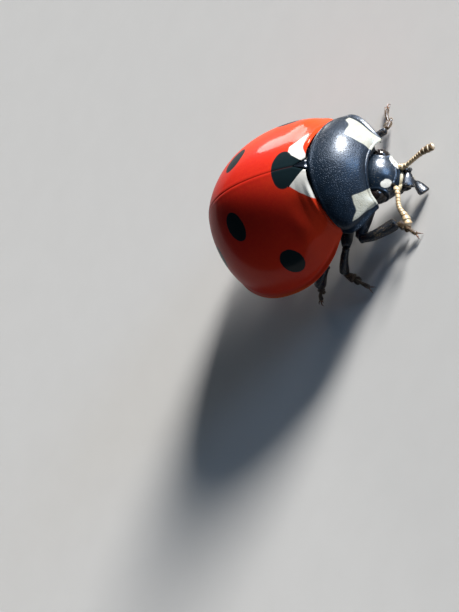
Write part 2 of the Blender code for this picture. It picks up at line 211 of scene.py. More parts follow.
def close_up(mesh, sharp=35.0, weld=2e-5):
    """Welds seams and poles, turns the faces outwards and shades them smooth, but for sharp edges."""
    shape = bmesh.new()
    shape.from_mesh(mesh)
    bmesh.ops.remove_doubles(shape, verts=shape.verts, dist=weld)
    bmesh.ops.dissolve_degenerate(shape, edges=shape.edges, dist=weld * 0.1)
    bmesh.ops.recalc_face_normals(shape, faces=shape.faces)
    shape.to_mesh(mesh)
    shape.free()
    mesh.shade_smooth()
    mesh.set_sharp_from_angle(angle=math.radians(sharp))


def claim(piece, slot, *nodes):
    """Says what a piece rides on and which solids it stands for. The slot is not used."""
    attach(piece, "root")
    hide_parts(*nodes)


def set_in_place(piece, slot, *nodes):
    """Puts a piece, drawn in millimetres, where its solids stand."""
    piece.data.transform(TO_PLACE)
    piece.data.update()
    claim(piece, slot, *nodes)


def wing_case_tree():
    tree, size = start_tree("wing_case_shape", {"Side": 1.0, **DOME, "Rings": 170, "Round": 150})
    entries = {"Size X": 1.0, "Size Y": 1.0, "Vertices X": size["Rings"], "Vertices Y": size["Round"]}
    grid = add_node(tree, "GeometryNodeMeshGrid", entries)
    across, round_, _ = split(out(tree.nodes.new("GeometryNodeInputPosition")))
    share = across + 0.5
    turn = round_ + 0.5
    # Closer rings towards the base, and closer still towards the tip.
    along = share * 0.5 + share * share * 2.0 - share * share * share * 1.5
    # Round: the outer arch, then the turned-in band below the margin, then the inner arch back.
    outer_part = 0.62
    band_part = 0.74
    bend = (turn / outer_part).most((1.0 - turn) / (1.0 - band_part)).most(1.0)
    angle = bend * (math.pi / 2)
    inward = ((turn - outer_part) / (band_part - outer_part)).least(0.0).most(1.0)
    sine = angle.by("SINE").least(0.0)
    cosine = angle.by("COSINE").least(0.0)
    outside = turn.step(outer_part + 0.012, outer_part)

    base_y = size["Base"] + (size["Shoulder"] - size["Base"]) * sine * sine
    near_y = base_y + along * (size["Tip"] - base_y)
    arch = sine ** size["Arch"]
    rise = cosine ** size["Arch"]
    from_suture = arch * size["Half width"]
    above_margin = rise * size["Height"]
    from_base = near_y - base_y
    # Relief, outwards: suture edge, side rim with its groove, base rim, shoulder knob and the dip inside it.
    relief = from_suture.hill(0.0, 0.016) * -0.009 + from_suture.hill(0.09, 0.05) * 0.004
    rim = above_margin.hill(0.02, 0.06) * 0.05 - above_margin.hill(0.17, 0.07) * 0.022
    relief = relief + rim * from_base.step(0.1, 0.7)
    base_side = angle.step(0.18, 0.45) * angle.step(1.5, 1.2)
    base_edge = from_base.hill(0.0, 0.05) * -0.05 + from_base.hill(0.09, 0.05) * 0.006
    base_groove = from_base.hill(0.22, 0.06) * -0.005
    relief = relief + (base_edge + base_groove) * base_side
    knob = angle.hill(0.98, 0.20) * near_y.hill(0.68, 0.34) * 0.075
    dip = angle.hill(0.66, 0.15) * near_y.hill(0.50, 0.25) * -0.022
    relief = (relief + knob + dip) * outside
    shrink = inward * size["Wall"] - relief
    hollow = (inward * math.pi).by("SINE") * 0.05

    tip_y = size["Tip"] - shrink
    y = base_y + along * (tip_y - base_y)
    forward = ((size["Widest"] - y) / (size["Widest"] - size["Shoulder"])).least(0.0)
    backward = ((y - size["Widest"]) / (tip_y - size["Widest"])).least(0.0).most(1.0)
    is_rear = y.by("GREATER_THAN", size["Widest"])
    front_width = size["Half width"] * (1.0 - (1.0 - size["Base width"]) * forward**2.2) - shrink
    front_height = size["Height"] * (1.0 - (1.0 - size["Base height"]) * forward * forward) - shrink
    rear_width = (size["Half width"] - shrink) * (1.0 - backward**2.3).least(0.0) ** 0.5
    rear_height = (size["Height"] - shrink) * (1.0 - backward**2.1).least(0.0) ** 0.55
    # The shoulder corner is rounded off.
    front_width = front_width - from_base.hill(0.0, 0.45) * 0.14 * sine**3.0 - forward.hill(0.7, 0.4) * 0.05
    half_width = front_width + (rear_width - front_width) * is_rear
    height = front_height + (rear_height - front_height) * is_rear
    level = size["Margin level"] + size["Tip rise"] * backward * backward
    level = level + size["Base rise"] * forward * forward
    notch = (1.0 - y.least(0.0) / size["Notch length"]).least(0.0)
    suture = size["Suture gap"] + size["Notch width"] * notch
    x = suture + (half_width - suture).least(0.0) * arch
    z = level + height * rise + hollow
    entries = {"Geometry": out(grid), "Position": combined(x * size["Side"], y, z)}
    shell = out(add_node(tree, "GeometryNodeSetPosition", entries))
    end_tree(tree, size, shell)
    return tree


class Finish:
    """A material. It knows the place on the animal in millimetres, as `here`, and its colour so far."""

    def __init__(self, name, roughness, coat, coat_roughness=0.06, specular=0.5):
        self.material = bpy.data.materials.new(name)
        self.material.use_nodes = True
        self.tree = self.material.node_tree
        self.set("Roughness", roughness)
        self.set("Coat Weight", coat)
        self.set("Coat Roughness", coat_roughness)
        self.set("Specular IOR Level", specular)
        self.set("IOR", 1.5)
        at = out(self.tree.nodes.new("ShaderNodeTexCoord"), "Object")
        entries = {0: at, 1: [1 / MM] * 3, 2: [-value / MM for value in BODY_PLACE]}
        self.here = out(add_node(self.tree, "ShaderNodeVectorMath", entries, operation="MULTIPLY_ADD"))

    def set(self, name, value):
        give(self.tree, self.tree.nodes["Principled BSDF"].inputs[name], value)

    def paint(self, colour):
        self.colour = colour
        self.set("Base Color", colour)

    def roughen(self, height, depth):
        """Bump of the given depth in metres from a height between -1 and 1."""
        entries = {"Height": height, "Distance": depth, "Strength": 1.0}
        self.set("Normal", out(add_node(self.tree, "ShaderNodeBump", entries)))

    def unwrap(self):
        """Places on the piece's own unwrap: across and along it."""
        return split(out(add_node(self.tree, "ShaderNodeUVMap", {}, uv_map="unwrap")))[:2]


def noise(at, scale, detail=2.0, roughness=0.5):
    entries = {"Vector": at, "Scale": scale, "Detail": detail, "Roughness": roughness}
    return out(add_node(at.tree, "ShaderNodeTexNoise", entries), 0)


def pits(at, spacing, width):
    """Small round punctures, about one spacing apart: 0 on the surface and -1 at the bottom of each."""
    entries = {"Vector": at, "Scale": 1 / spacing, "Randomness": 0.75}
    distance = out(add_node(at.tree, "ShaderNodeTexVoronoi", entries), "Distance")
    return distance.step(width, 0.0) * -1.0


def mixed(share, first, second):
    """A colour between two others, each of them three numbers or another colour's flow."""
    node = add_node(share.tree, "ShaderNodeMix", {0: share}, data_type="RGBA")
    for entry, colour in ((node.inputs[6], first), (node.inputs[7], second)):
        give(share.tree, entry, colour if isinstance(colour, Flow) else (*colour, 1.0))
    return out(node, 2)


def dome_measures(y, wall=0.0):
    """Half width, height and margin level of the dome at y, drawn in by a wall."""
    forward = max((DOME["Widest"] - y) / (DOME["Widest"] - DOME["Shoulder"]), 0.0)
    backward = max((y - DOME["Widest"]) / (DOME["Tip"] - wall - DOME["Widest"]), 0.0)
    if y < DOME["Widest"]:
        half_width = DOME["Half width"] * (1 - (1 - DOME["Base width"]) * forward**2.2) - wall
        height = DOME["Height"] * (1 - (1 - DOME["Base height"]) * forward**2) - wall
    else:
        half_width = (DOME["Half width"] - wall) * (1 - backward**2.3) ** 0.5
        height = (DOME["Height"] - wall) * (1 - backward**2.1) ** 0.55
    level = DOME["Margin level"] + DOME["Tip rise"] * backward**2 + DOME["Base rise"] * forward**2
    return half_width, height, level


def dome_level(x, y):
    """How high the dome of the wing cases stands at a place on it."""
    half_width, height, level = dome_measures(y)
    sine = min(abs(x) / half_width, 1.0) ** (1 / DOME["Arch"])
    return level + height * (1 - sine**2) ** (DOME["Arch"] / 2)


def oval_reach(at, place, half, turn):
    """How far a place lies from an oval's middle, as a share of its half size."""
    entries = {"Vector": at, "Location": place, "Rotation": turn, "Scale": half}
    node = add_node(at.tree, "ShaderNodeMapping", entries, vector_type="TEXTURE")
    return out(add_node(at.tree, "ShaderNodeVectorMath", {0: out(node)}, operation="LENGTH"), "Value")


def spot_reach(at, x, y, across, along, turn):
    """The same for a spot of the given size that lies flat on the dome."""
    step = 0.02
    thickness = 2.4
    level = dome_level(x, y)
    slope_x = (dome_level(x + step, y) - dome_level(x - step, y)) / (2 * step)
    slope_y = (dome_level(x, y + step) - dome_level(x, y - step)) / (2 * step)
    upright = Vector((-slope_x, -slope_y, 1.0)).normalized()
    level_way = Vector((1.0, 0.0, slope_x)).normalized()
    long_way = upright.cross(level_way)
    frame_turn = Matrix((level_way, long_way, upright)).transposed() @ Matrix.Rotation(turn, 3, "Z")
    return oval_reach(at, (x, y, level), (across / 2, along / 2, thickness / 2), frame_turn.to_euler())


def inside(reach, wobble, edge=0.035):
    """1 inside an outline and 0 outside it, with a slightly uneven, slightly soft edge."""
    return (reach + wobble).step(1.0 + edge, 1.0 - edge)


RED = (0.45, 0.017, 0.010)
ORANGE_RED = (0.58, 0.067, 0.009)
MOTTLED_RED = (0.56, 0.042, 0.009)
PIT_RED = (0.22, 0.004, 0.004)
MARGIN_ORANGE = (0.58, 0.14, 0.018)
PATCH_WHITE = (0.56, 0.555, 0.52)
SPOT_BLACK = (0.006, 0.013, 0.016)
SUTURE_RED = (0.18, 0.008, 0.005)
WARM_GLOSS = (1.0, 0.46, 0.12, 1.0)
# The shared spot, and the middle, side and hind spots: place across and along the body, width, length, turn.
SPOTS = (
    (0.0, 0.72, 1.30, 0.76, 0.0),
    (1.15, 2.92, 0.98, 0.72, -0.30),
    (2.40, 1.64, 0.86, 0.80, 0.0),
    (1.30, 4.58, 0.76, 0.60, 0.30),
)


def wing_case_finish():
    finish = Finish("wing_case_red", roughness=0.36, coat=0.20, coat_roughness=0.10, specular=0.015)
    here = finish.here
    x, y, z = split(here)
    out_x = x.by("ABSOLUTE")
    either_side = combined(out_x, y, z)
    cloudy = noise(here, 0.9, 3.0)
    mottled = noise(here, 9.0, 3.0, 0.6)
    grain = pits(here, 0.052, 0.48)
    # Red, more orange towards the sides and the base, with a fine darker grain in the punctures. The left
    # side is more orange still: that extra is painted light, for the side the lights shine on.
    # Painted light: the term in x alone makes the lit left side more orange.
    orange = x.step(0.5, 2.6) * 0.5 + out_x.step(1.4, 2.8) * 0.15 + y.step(1.4, -0.2) * 0.3
    orange = (orange + (cloudy - 0.5) * 0.3).least(0.0).most(1.0)
    colour = mixed(orange, RED, ORANGE_RED)
    colour = mixed(mottled.step(0.35, 0.75) * 0.22, colour, MOTTLED_RED)
    colour = mixed(grain * -0.14, colour, PIT_RED)
    # The margin is thin and a little paler orange; its glow is partly painted light, for light shining
    # through it.
    rim = (z - 1.19).step(0.17, 0.0) * out_x.step(0.6, 1.2)
    colour = mixed(rim * 0.65, colour, MARGIN_ORANGE)
    wobble = (noise(here, 3.2, 2.0) - 0.5) * 0.22
    # White patches beside the scutellum: triangles on the base edge. The left one is a little wider: the
    # extra is painted highlight, for the glare that runs into it.
    reach = x.step(0.0, 0.6) * 0.20 + 1.06
    to_outside = (reach - out_x - y * 0.55 - y * y * 0.45 + wobble * 0.30).step(-0.015, 0.03)
    to_rear = (0.60 - y + wobble * 0.25).step(-0.015, 0.03)
    # On the left the raised bead along the base stays red outside the middle.
    off_bead = (y + 0.10 - x.step(0.1, 0.7) * 0.20 + wobble * 0.1).step(0.0, 0.03)
    colour = mixed(to_outside * to_rear * off_bead, colour, PATCH_WHITE)
    # Seven black spots: three on each wing case and one shared by both behind the scutellum, which a black
    # neck, narrower on the left, joins to the scutellum.
    neck = (out_x + x.step(0.0, 0.2) * 0.09 - 0.18 - (y - 0.05).least(0.0) * 0.80) * 6.0 + 1.0
    nearest = neck.least((y - 0.62) * 6.0 + 1.0)
    for spot in SPOTS:
        nearest = nearest.most(spot_reach(either_side, *spot))
    colour = mixed(inside(nearest, wobble * 0.45), colour, SPOT_BLACK)
    # The suture is edged with a thin dark line.
    suture = out_x.step(0.030, 0.012) * y.step(0.2, 0.5)
    finish.paint(mixed(suture * 0.12, colour, SUTURE_RED))
    finish.set("Roughness", mottled * 0.08 + cloudy * 0.08 + 0.30 - grain * 0.08)
    wavy = noise(here, 2.2, 2.0)
    finish.roughen(grain * 0.35 + mottled * 0.2 + wavy * 0.8, 3e-6)
    finish.set("Specular Tint", WARM_GLOSS)
    return finish.material


WING_CASE_FINISH = wing_case_finish()
WING_CASE_TREE = wing_case_tree()
for side_name, sign in SIDES:
    choices = {"Side": sign, "Finish": WING_CASE_FINISH}
    wing_case = grow("wing_case_" + side_name, WING_CASE_TREE, choices)
    close_up(wing_case.data, 50.0)
    set_in_place(wing_case, "wing_case", "elytron_" + side_name)

# ---------------------------------------------------------------- scutellum
# The small black triangle wedged between the bases of the wing cases: one hard plate, slightly hollowed,
# with a rounded edge. It is drawn as rings across the body, like all the lofted pieces after it.

SCUTELLUM_HALF = 0.165
SCUTELLUM_DEPTH = 0.42


def steps(count, first=0.0, last=1.0):
    return np.linspace(first, last, count + 1)


def hill(values, centre, width):
    return np.exp(-(((values - centre) / width) ** 2))


class Shape:
    """Points and faces of one piece, with the way each ring leads and each face's place on an unwrap."""

    def __init__(self):
        self.points = []
        self.ways = []
        self.faces = []
        self.places = []

    def loft(self, rings, tile=(0.0, 0.0, 1.0, 1.0), caps=True):
        """Quads through rings of points, and a fan over each end."""
        rings = np.asarray(rings, float)
        count, sides = rings.shape[:2]
        first = len(self.points)
        self.points.extend(map(tuple, rings.reshape(-1, 3)))
        self.ways.extend(map(tuple, np.gradient(rings, axis=0).reshape(-1, 3)))
        low_u, low_v, high_u, high_v = tile
        across = low_u + (high_u - low_u) * np.arange(sides + 1) / sides
        along = low_v + (high_v - low_v) * np.arange(count) / (count - 1)
        for row in range(count - 1):
            for k in range(sides):
                here = first + row * sides + k
                beside = first + row * sides + (k + 1) % sides
                self.faces.append((here, beside, beside + sides, here + sides))
                u, v = across[k : k + 2], along[row : row + 2]
                self.places.append(((u[0], v[0]), (u[1], v[0]), (u[1], v[1]), (u[0], v[1])))
        if caps:
            for row in (0, count - 1):
                self.fan(first + row * sides, rings[row], (low_u, along[row]))

    def fan(self, first, ring, place):
        """Closes a ring with faces to its middle."""
        middle = len(self.points)
        self.points.append(tuple(ring.mean(0)))
        self.ways.append(self.ways[first])
        for k in range(len(ring)):
            self.faces.append((first + k, first + (k + 1) % len(ring), middle))
            self.places.append((place, place, place))

    def mesh(self, name, sharp=35.0, weld=2e-5):
        data = bpy.data.meshes.new(name)
        data.from_pydata(self.points, [], self.faces)
        layer = data.uv_layers.new(name="unwrap")
        layer.data.foreach_set("uv", np.array([p for face in self.places for p in face]).ravel())
        lie = data.attributes.new("lie", "FLOAT_VECTOR", "POINT")
        lie.data.foreach_set("vector", np.array(self.ways).ravel())
        close_up(data, sharp, weld)
        return data


def lofted(name, rings, sharp=35.0):
    """A closed mesh through rings."""
    shape = Shape()
    shape.loft(rings)
    return shape.mesh(name, sharp)


def make_piece(name, data, finish):
    data.materials.append(finish)
    return put_in_scene(name, data)


PALER_BLACK = (0.012, 0.015, 0.020)
COLD_GLOSS = (0.55, 0.72, 1.0, 1.0)


def black_finish(name, tint, spacing, depth, roughness, coat, coat_roughness=0.19):
    """Black cuticle with a cold sheen: fine punctures, of a spacing in millimetres and a depth in metres."""
    finish = Finish(name, roughness, coat, coat_roughness, specular=0.34)
    cloudy = noise(finish.here, 2.4, 3.0)
    fine = noise(finish.here, 22.0, 2.0)
    punctures = pits(finish.here, spacing, 0.5)
    colour = mixed(cloudy.step(0.3, 0.7), tint, tuple(part * 0.55 for part in tint))
    finish.paint(mixed(fine.step(0.55, 0.8) * 0.3, colour, PALER_BLACK))
    finish.set("Roughness", (fine - 0.5) * 0.16 + roughness - punctures * 0.15)
    finish.roughen(punctures + fine * 0.35 + cloudy * 1.2, depth)
    finish.set("Specular Tint", COLD_GLOSS)
    return finish


def scutellum_mesh():
    rings = []
    rows, turns = 28, 24
    across = steps(turns, -1.0, 1.0)
    for y in steps(rows, DOME["Base"], DOME["Notch length"] - 0.08):
        half = SCUTELLUM_HALF * (1 - max(y, 0.0) / DOME["Notch length"])
        top = dome_level(0.0, y)
        rim_fall = 0.045 * np.abs(across) ** 6
        dish = 0.025 * hill(across, 0.0, 0.5) * (1 - y / DOME["Notch length"])
        level = top - rim_fall - dish - 0.04 * hill(y, DOME["Base"], 0.03)
        upper = np.stack([across * half, np.full_like(across, y), level], 1)
        lower = upper[::-1].copy()
        lower[:, 2] = top - SCUTELLUM_DEPTH
        rings.append(np.concatenate([upper, lower]))
    return lofted("scutellum", rings)


SCUTELLUM_TINT = (0.005, 0.008, 0.013)
SCUTELLUM_FINISH = black_finish(
    "black_scutellum", SCUTELLUM_TINT, spacing=0.05, depth=3e-6, roughness=0.34, coat=0.5
)
scutellum = make_piece("scutellum_plate", scutellum_mesh(), SCUTELLUM_FINISH.material)
set_in_place(scutellum, "black_shell", "scutellum")

# ---------------------------------------------------------------- pronotum
# The shield over the front of the body: one hard, finely punctured plate, black with a cream corner on each
# side. It is arched rings from the hind edge, over the wing-case base, to the front edge behind the eyes.

PIVOT = np.array((0.0, -0.1, 2.4))
FRONT_TURN = (0.0, 0.036, -0.055)
HIND_EDGE = {"half_width": 1.88, "side_y": -0.175, "side_z": 1.84, "mid_y": -0.045, "mid_z": 3.235}
FRONT_EDGE = {"half_width": 1.17, "side_y": -1.16, "side_z": 1.23, "mid_y": -1.25, "mid_z": 1.91}
SIDE_BULGE = 0.44
TOP_BULGE = 0.13
SHELL_WALL = 0.5
FRONT_WALL = 0.12
FRONT_FALL = 0.05
FRONT_ROLL = 0.03


def pronotum_wall(share):
    """How thick the pronotum is at a share of its length."""
    return SHELL_WALL + (FRONT_WALL - SHELL_WALL) * share


def pronotum_arch(share, wall, angles, side_out=0.0):
    """One arch of the pronotum, drawn in by a wall, from the left margin over the top to the right."""
    measure = {key: HIND_EDGE[key] + (FRONT_EDGE[key] - HIND_EDGE[key]) * share for key in HIND_EDGE}
    bulge = math.sin(math.pi * min(max(share, 0.0), 1.0))
    half_width = measure["half_width"] + SIDE_BULGE * bulge * (1 - 0.35 * share) - wall
    side_y = measure["side_y"] - 0.03 * bulge
    side_z = measure["side_z"] + 0.06 * bulge
    mid_y = measure["mid_y"] - TOP_BULGE * bulge + 0.35 * wall * share
    mid_z = measure["mid_z"] + TOP_BULGE * bulge - wall
    sine = np.abs(np.sin(angles))
    rise = np.maximum(np.cos(angles), 0.0) ** DOME["Arch"]
    # The corners reach forward past the eyes at the front edge.
    forward = side_out * share**4 * hill(np.abs(angles), 1.22, 0.28)
    x = np.sign(angles) * (half_width + 0.25 * forward) * sine ** DOME["Arch"]
    y = mid_y + (side_y - mid_y) * sine**2 - forward
    z = side_z + (mid_z - side_z) * rise
    turn = np.array(Euler([share * angle for angle in FRONT_TURN]).to_matrix())
    return (np.stack([x, y, z], 1) - PIVOT) @ turn.T + PIVOT


def along_normals(grid, relief):
    """Moves each point of an open grid out along its surface by its own relief."""
    down = np.gradient(grid, axis=0)
    over = np.gradient(grid, axis=1)
    normal = np.cross(over, down)
    length = np.linalg.norm(normal, axis=2, keepdims=True)
    normal = normal / np.maximum(length, 1e-9)
    return grid + normal * relief[..., None]


def pronotum_mesh():
    """Arches outside and inside, joined along both margins, at the hind edge and at the rolled front edge."""
    rows, turns = 110, 190
    shares = steps(rows) * 0.65 + (1 - np.cos(np.pi * steps(rows))) * 0.175
    spread = steps(turns, 1.0, -1.0)
    angles = (spread * 0.72 + np.sin(spread * math.pi / 2) * 0.28) * math.pi / 2
    outer = np.array([pronotum_arch(share, 0.0, angles, 0.10) for share in shares])
    inner = np.array([pronotum_arch(share, pronotum_wall(share), angles, 0.10) for share in shares])
    # Distances from the side, hind and front edges, for the rims.
    over = np.linalg.norm(np.diff(outer, axis=1), axis=2)
    run = np.concatenate([np.zeros((rows + 1, 1)), np.cumsum(over, 1)], 1)
    from_side = np.minimum(run, run[:, -1:] - run)
    down = np.linalg.norm(np.diff(outer, axis=0), axis=2)
    fall = np.concatenate([np.zeros((1, turns + 1)), np.cumsum(down, 0)], 0)
    from_front = fall[-1:] - fall
    side_rim = 0.045 * hill(from_side, 0.06, 0.055) - 0.030 * hill(from_side, 0.20, 0.07)
    relief = side_rim - 0.05 * hill(from_side, 0.0, 0.03)
    relief += 0.012 * hill(fall, 0.1, 0.05) - 0.035 * hill(fall, 0.0, 0.035)
    inboard = np.clip(from_side / 0.6, 0, 1) ** 2
    relief -= FRONT_FALL * inboard * (1 - np.clip(from_front / 0.25, 0, 1)) ** 2
    # A shallow dent on each side of the disc.
    dents = hill(shares[:, None], 0.45, 0.22) * hill(np.abs(angles)[None], 0.95, 0.16)
    relief -= 0.018 * dents
    outer = along_normals(outer, relief)
    band = steps(7)[1:-1]
    lift = np.array([(0.0, 0.0, 0.05 * math.sin(math.pi * share)) for share in band])
    rings = []
    for front, back in zip(outer, inner):
        left_band = front[0] * (1 - band[:, None]) + back[0] * band[:, None] + lift
        right_band = back[-1] * (1 - band[:, None]) + front[-1] * band[:, None] + lift
        # Right margin back to the left along the inside.
        rings.append(np.concatenate([front, right_band[::-1], back[::-1], left_band[::-1]]))
    # The front edge is rolled under, towards the neck.
    last_ring = rings[-1]
    count = turns + 1
    inner_start = count + len(band)
    for roll in steps(6)[1:]:
        ring = last_ring.copy()
        near, far = last_ring[:count], last_ring[inner_start : inner_start + count][::-1]
        sweep = np.array((0.0, -1.0, -0.45)) * FRONT_ROLL * math.sin(roll * math.pi / 2)
        closing = (1 - math.cos(roll * math.pi / 2)) * 0.46
        ring[:count] = near + (far - near) * closing + sweep
        ring[inner_start : inner_start + count] = (far + (near - far) * closing + sweep)[::-1]
        rings.append(ring)
    shape = Shape()
    rings = np.array(rings)
    shape.loft(rings, caps=False)
    last = (len(rings) - 1) * rings.shape[1]
    for first in (0, last):
        inner_first = first + count + len(band)
        for k in range(turns):
            there = inner_first + count - 1 - k
            shape.faces.append((first + k, first + k + 1, there - 1, there))
            shape.places.append(((0.0, 0.0),) * 4)
        for start, inner_point, outer_point in (
            (first + count, inner_first, first + count - 1),
            (inner_first + count, first, inner_first + count - 1),
        ):
            loop = [outer_point, *range(start, start + len(band)), inner_point]
            middle = len(shape.points)
            shape.points.append(tuple(np.mean([shape.points[k] for k in loop], 0)))
            shape.ways.append(shape.ways[start])
            for one, two in zip(loop, loop[1:] + loop[:1]):
                shape.faces.append((one, two, middle))
                shape.places.append(((0.0, 0.0),) * 3)
    return shape.mesh("pronotum")


CREAM = (0.35, 0.36, 0.32)
DULL_CREAM = (0.29, 0.29, 0.24)
# Black with a navy tint; the navy is painted sheen, for a blue reflection.
PRONOTUM_BLACK_AND_SHEEN = (0.003, 0.008, 0.016)


def cream(here):
    return mixed(noise(here, 6.0, 3.0).step(0.3, 0.7), CREAM, DULL_CREAM)


def pronotum_finish():
    surface = {"spacing": 0.046, "depth": 7e-6, "roughness": 0.37, "coat": 0.20, "coat_roughness": 0.22}
    finish = black_finish("black_pronotum", PRONOTUM_BLACK_AND_SHEEN, **surface)
    here = finish.here
    x, y, z = split(here)
    out_x = x.by("ABSOLUTE")
    wobble = (noise(here, 2.2, 1.5) - 0.5) * 0.12
    # A cream corner: below a slanting upper edge with a notch in it, outside an inner edge, ahead of the
    # middle and above a black margin that widens backwards.
    notch = out_x.hill(1.44, 0.16) * 0.09
    # The left corner reaches a little further: the extra cream is painted highlight, for the glare that meets
    # the corner.
    painted_glare_widening = x.step(0.0, 0.6) * 0.16
    upper = (painted_glare_widening + 2.20 - z - (out_x - 1.06) * 0.36 - notch + wobble).step(0.0, 0.04)
    inner = (out_x + painted_glare_widening - 0.84 - (z - 1.87).least(-0.4) * 0.62 + wobble).step(0.0, 0.04)
    ahead = (wobble - y - 0.64 - (1.80 - z).least(0.0) * 0.35).step(0.0, 0.04)
    above = (z - out_x * 0.94 - 0.27 + wobble).step(0.0, 0.04)
    finish.paint(mixed(upper * inner * ahead * above, finish.colour, cream(here)))
    return finish.material


PRONOTUM_FINISH = pronotum_finish()
pronotum = make_piece("pronotum_shield", pronotum_mesh(), PRONOTUM_FINISH)
set_in_place(pronotum, "pronotum", "pronotum")

# ---------------------------------------------------------------- underside of the front body
# The part inside the pronotum, which carries the head and the fore legs: hard black plates below, with a
# keel between the fore hips, grooves round the hip sockets and fine hairs.

KEEL_POWER = 1.8
FRONT_KEEL_Z = 0.92


def rounded_end(shares, width):
    """1 along a piece, falling to nothing over the last width at both ends, as a quarter circle."""
    near = np.minimum(np.minimum(shares, 1 - shares) / width, 1.0)
    return np.sqrt(np.maximum(1 - (1 - near) ** 2, 0.0))


def prothorax_mesh():
    rings = []
    rows, arch_turns, belly_turns = 46, 44, 60
    shares = steps(rows)
    fill = rounded_end(shares, 0.10)
    for share, full in zip(shares, fill):
        along = 0.02 + share * 0.78
        wall = pronotum_wall(along) + 0.05 + 0.16 * (1 - full)
        arch = pronotum_arch(along, wall, steps(arch_turns, math.pi / 2, -math.pi / 2))
        across = steps(belly_turns, -1.0, 1.0)[1:-1]
        side = np.where(across[:, None] > 0, arch[0], arch[-1])
        z = side[:, 2] + (FRONT_KEEL_Z - side[:, 2]) * (1 - np.abs(across) ** KEEL_POWER) * full
        x = np.abs(side[:, 0]) * across
        # Hip sockets to both sides of a narrow keel, and the line where the side plates begin.
        sockets = hill(np.abs(x), 0.42, 0.20) * hill(share, 0.45, 0.26)
        seam = hill(np.abs(x), 0.95 + 0.15 * share, 0.03)
        keel = hill(x, 0.0, 0.07) * 0.03
        z = z + 0.07 * sockets + 0.02 * seam - keel
        rings.append(np.concatenate([arch, np.stack([x, side[:, 1], z], 1)]))
    return lofted("prothorax", rings, 40.0)


UNDERSIDE_TINT = (0.010, 0.010, 0.012)
UNDERSIDE_FINISH = black_finish(
    "black_underside", UNDERSIDE_TINT, spacing=0.05, depth=5e-6, roughness=0.46, coat=0.25
)
prothorax = make_piece("front_body", prothorax_mesh(), UNDERSIDE_FINISH.material)
set_in_place(prothorax, "underside", "prothorax")

# ---------------------------------------------------------------- underside of the middle and hind body
# The thorax is a few fixed black plates with a cream one on each side, and the abdomen is six hard rings.
# Both are lofted across, with an arch hidden under the wing cases and a shallow keel below.

BELLY_DEPTH = 0.5
WAIST_Y = 2.25
TRUNK_FRONT_Y = 0.02
UNDER_WALL = 0.55
ABDOMEN_END = DOME["Tip"] - UNDER_WALL


def trunk_arch(y, turns):
    """Half width, margin level and the arch under the wing cases at y."""
    half, height, level = dome_measures(y, UNDER_WALL)
    angles = steps(turns, -math.pi / 2, math.pi / 2)
    reach = np.sign(angles) * half * np.abs(np.sin(angles)) ** DOME["Arch"]
    rise = height * np.maximum(np.cos(angles), 0.0) ** DOME["Arch"]
    return half, level, np.stack([reach, np.full_like(angles, y), level + rise], 1)


def thorax_relief(x, y):
    """How far the plates stand out of the keel or sink into it, downwards."""
    off = np.abs(x)
    relief = 0.045 * hill(x, 0.0, 0.25) * (y < 1.9)
    # Grooves: between middle and hind breast, along the midline, and beside the long side plates.
    relief -= 0.035 * hill(y - 0.80 - 0.10 * off, 0.0, 0.035) * (off > 0.35)
    relief -= 0.020 * hill(x, 0.0, 0.018) * (y > 0.85)
    side_line = 1.30 + 0.12 * (y - 1.0)
    relief -= 0.035 * hill(off, side_line, 0.030)
    relief -= 0.030 * hill(y - 0.42 + 0.35 * (off - 1.3), 0.0, 0.03) * (off > 1.25)
    # Hollows for the middle and hind hips, with a raised lip behind.
    relief -= 0.07 * hill(off, 0.66, 0.20) * hill(y, 0.62, 0.15)
    relief -= 0.08 * hill(off, 0.72, 0.34) * hill(y, 2.02, 0.12)
    relief += 0.020 * hill(y, 1.83, 0.04) * (off < 1.2)
    return relief


def abdomen_relief(x, y):
    """Six rings, each lapping over the next with a rounded hind edge, and a curved line beside each hip."""
    off = np.abs(x)
    relief = np.zeros_like(off)
    for edge in (2.88, 3.36, 3.80, 4.20, 4.55):
        behind = y - edge + 0.06 * off
        relief += 0.035 * np.where(behind < 0, np.exp(behind / 0.22), np.exp(-behind / 0.02) - 0.25)
        relief -= 0.03 * hill(behind, 0.02, 0.02)
    hip_line = y - 2.62 - 0.28 * np.sin(np.clip(off / 1.3, 0, 1) * math.pi)
    relief += 0.014 * hill(hip_line, 0.0, 0.02) * (off < 1.5)
    relief -= 0.03 * hill(off, 1.75, 0.12)
    return relief


def trunk_mesh(name, first_y, last_y, belly, relief_of, rows, tail):
    """Rings across the body, each an arch and a belly: a thorax between flat ends or a pointed tail."""
    rings = []
    arch_turns, belly_turns = 30, 100
    for share in steps(rows):
        run = math.sin(share * math.pi / 2) if tail else share
        y = first_y + run * (last_y - first_y)
        half, level, arch = trunk_arch(min(y, ABDOMEN_END - 1e-4), arch_turns)
        across = steps(belly_turns, 1.0, -1.0)[1:-1]
        x = half * across
        lens_shape = 1 - np.abs(across) ** KEEL_POWER
        end = min(math.sqrt(run / 0.03), 1.0) if tail else rounded_end(run, 0.035)
        z = level - (belly(share) * lens_shape + relief_of(x, y) * lens_shape**0.3) * end
        rings.append(np.concatenate([arch, np.stack([x, np.full_like(x, y), z], 1)]))
    return lofted(name, rings, 50.0)


def breast_belly(share):
    return BELLY_DEPTH * (1 + 0.5 * max(1 - 2 * share, 0.0))


def hind_belly(share):
    return BELLY_DEPTH * max(math.cos(share * math.pi / 2), 0.0) ** 0.6


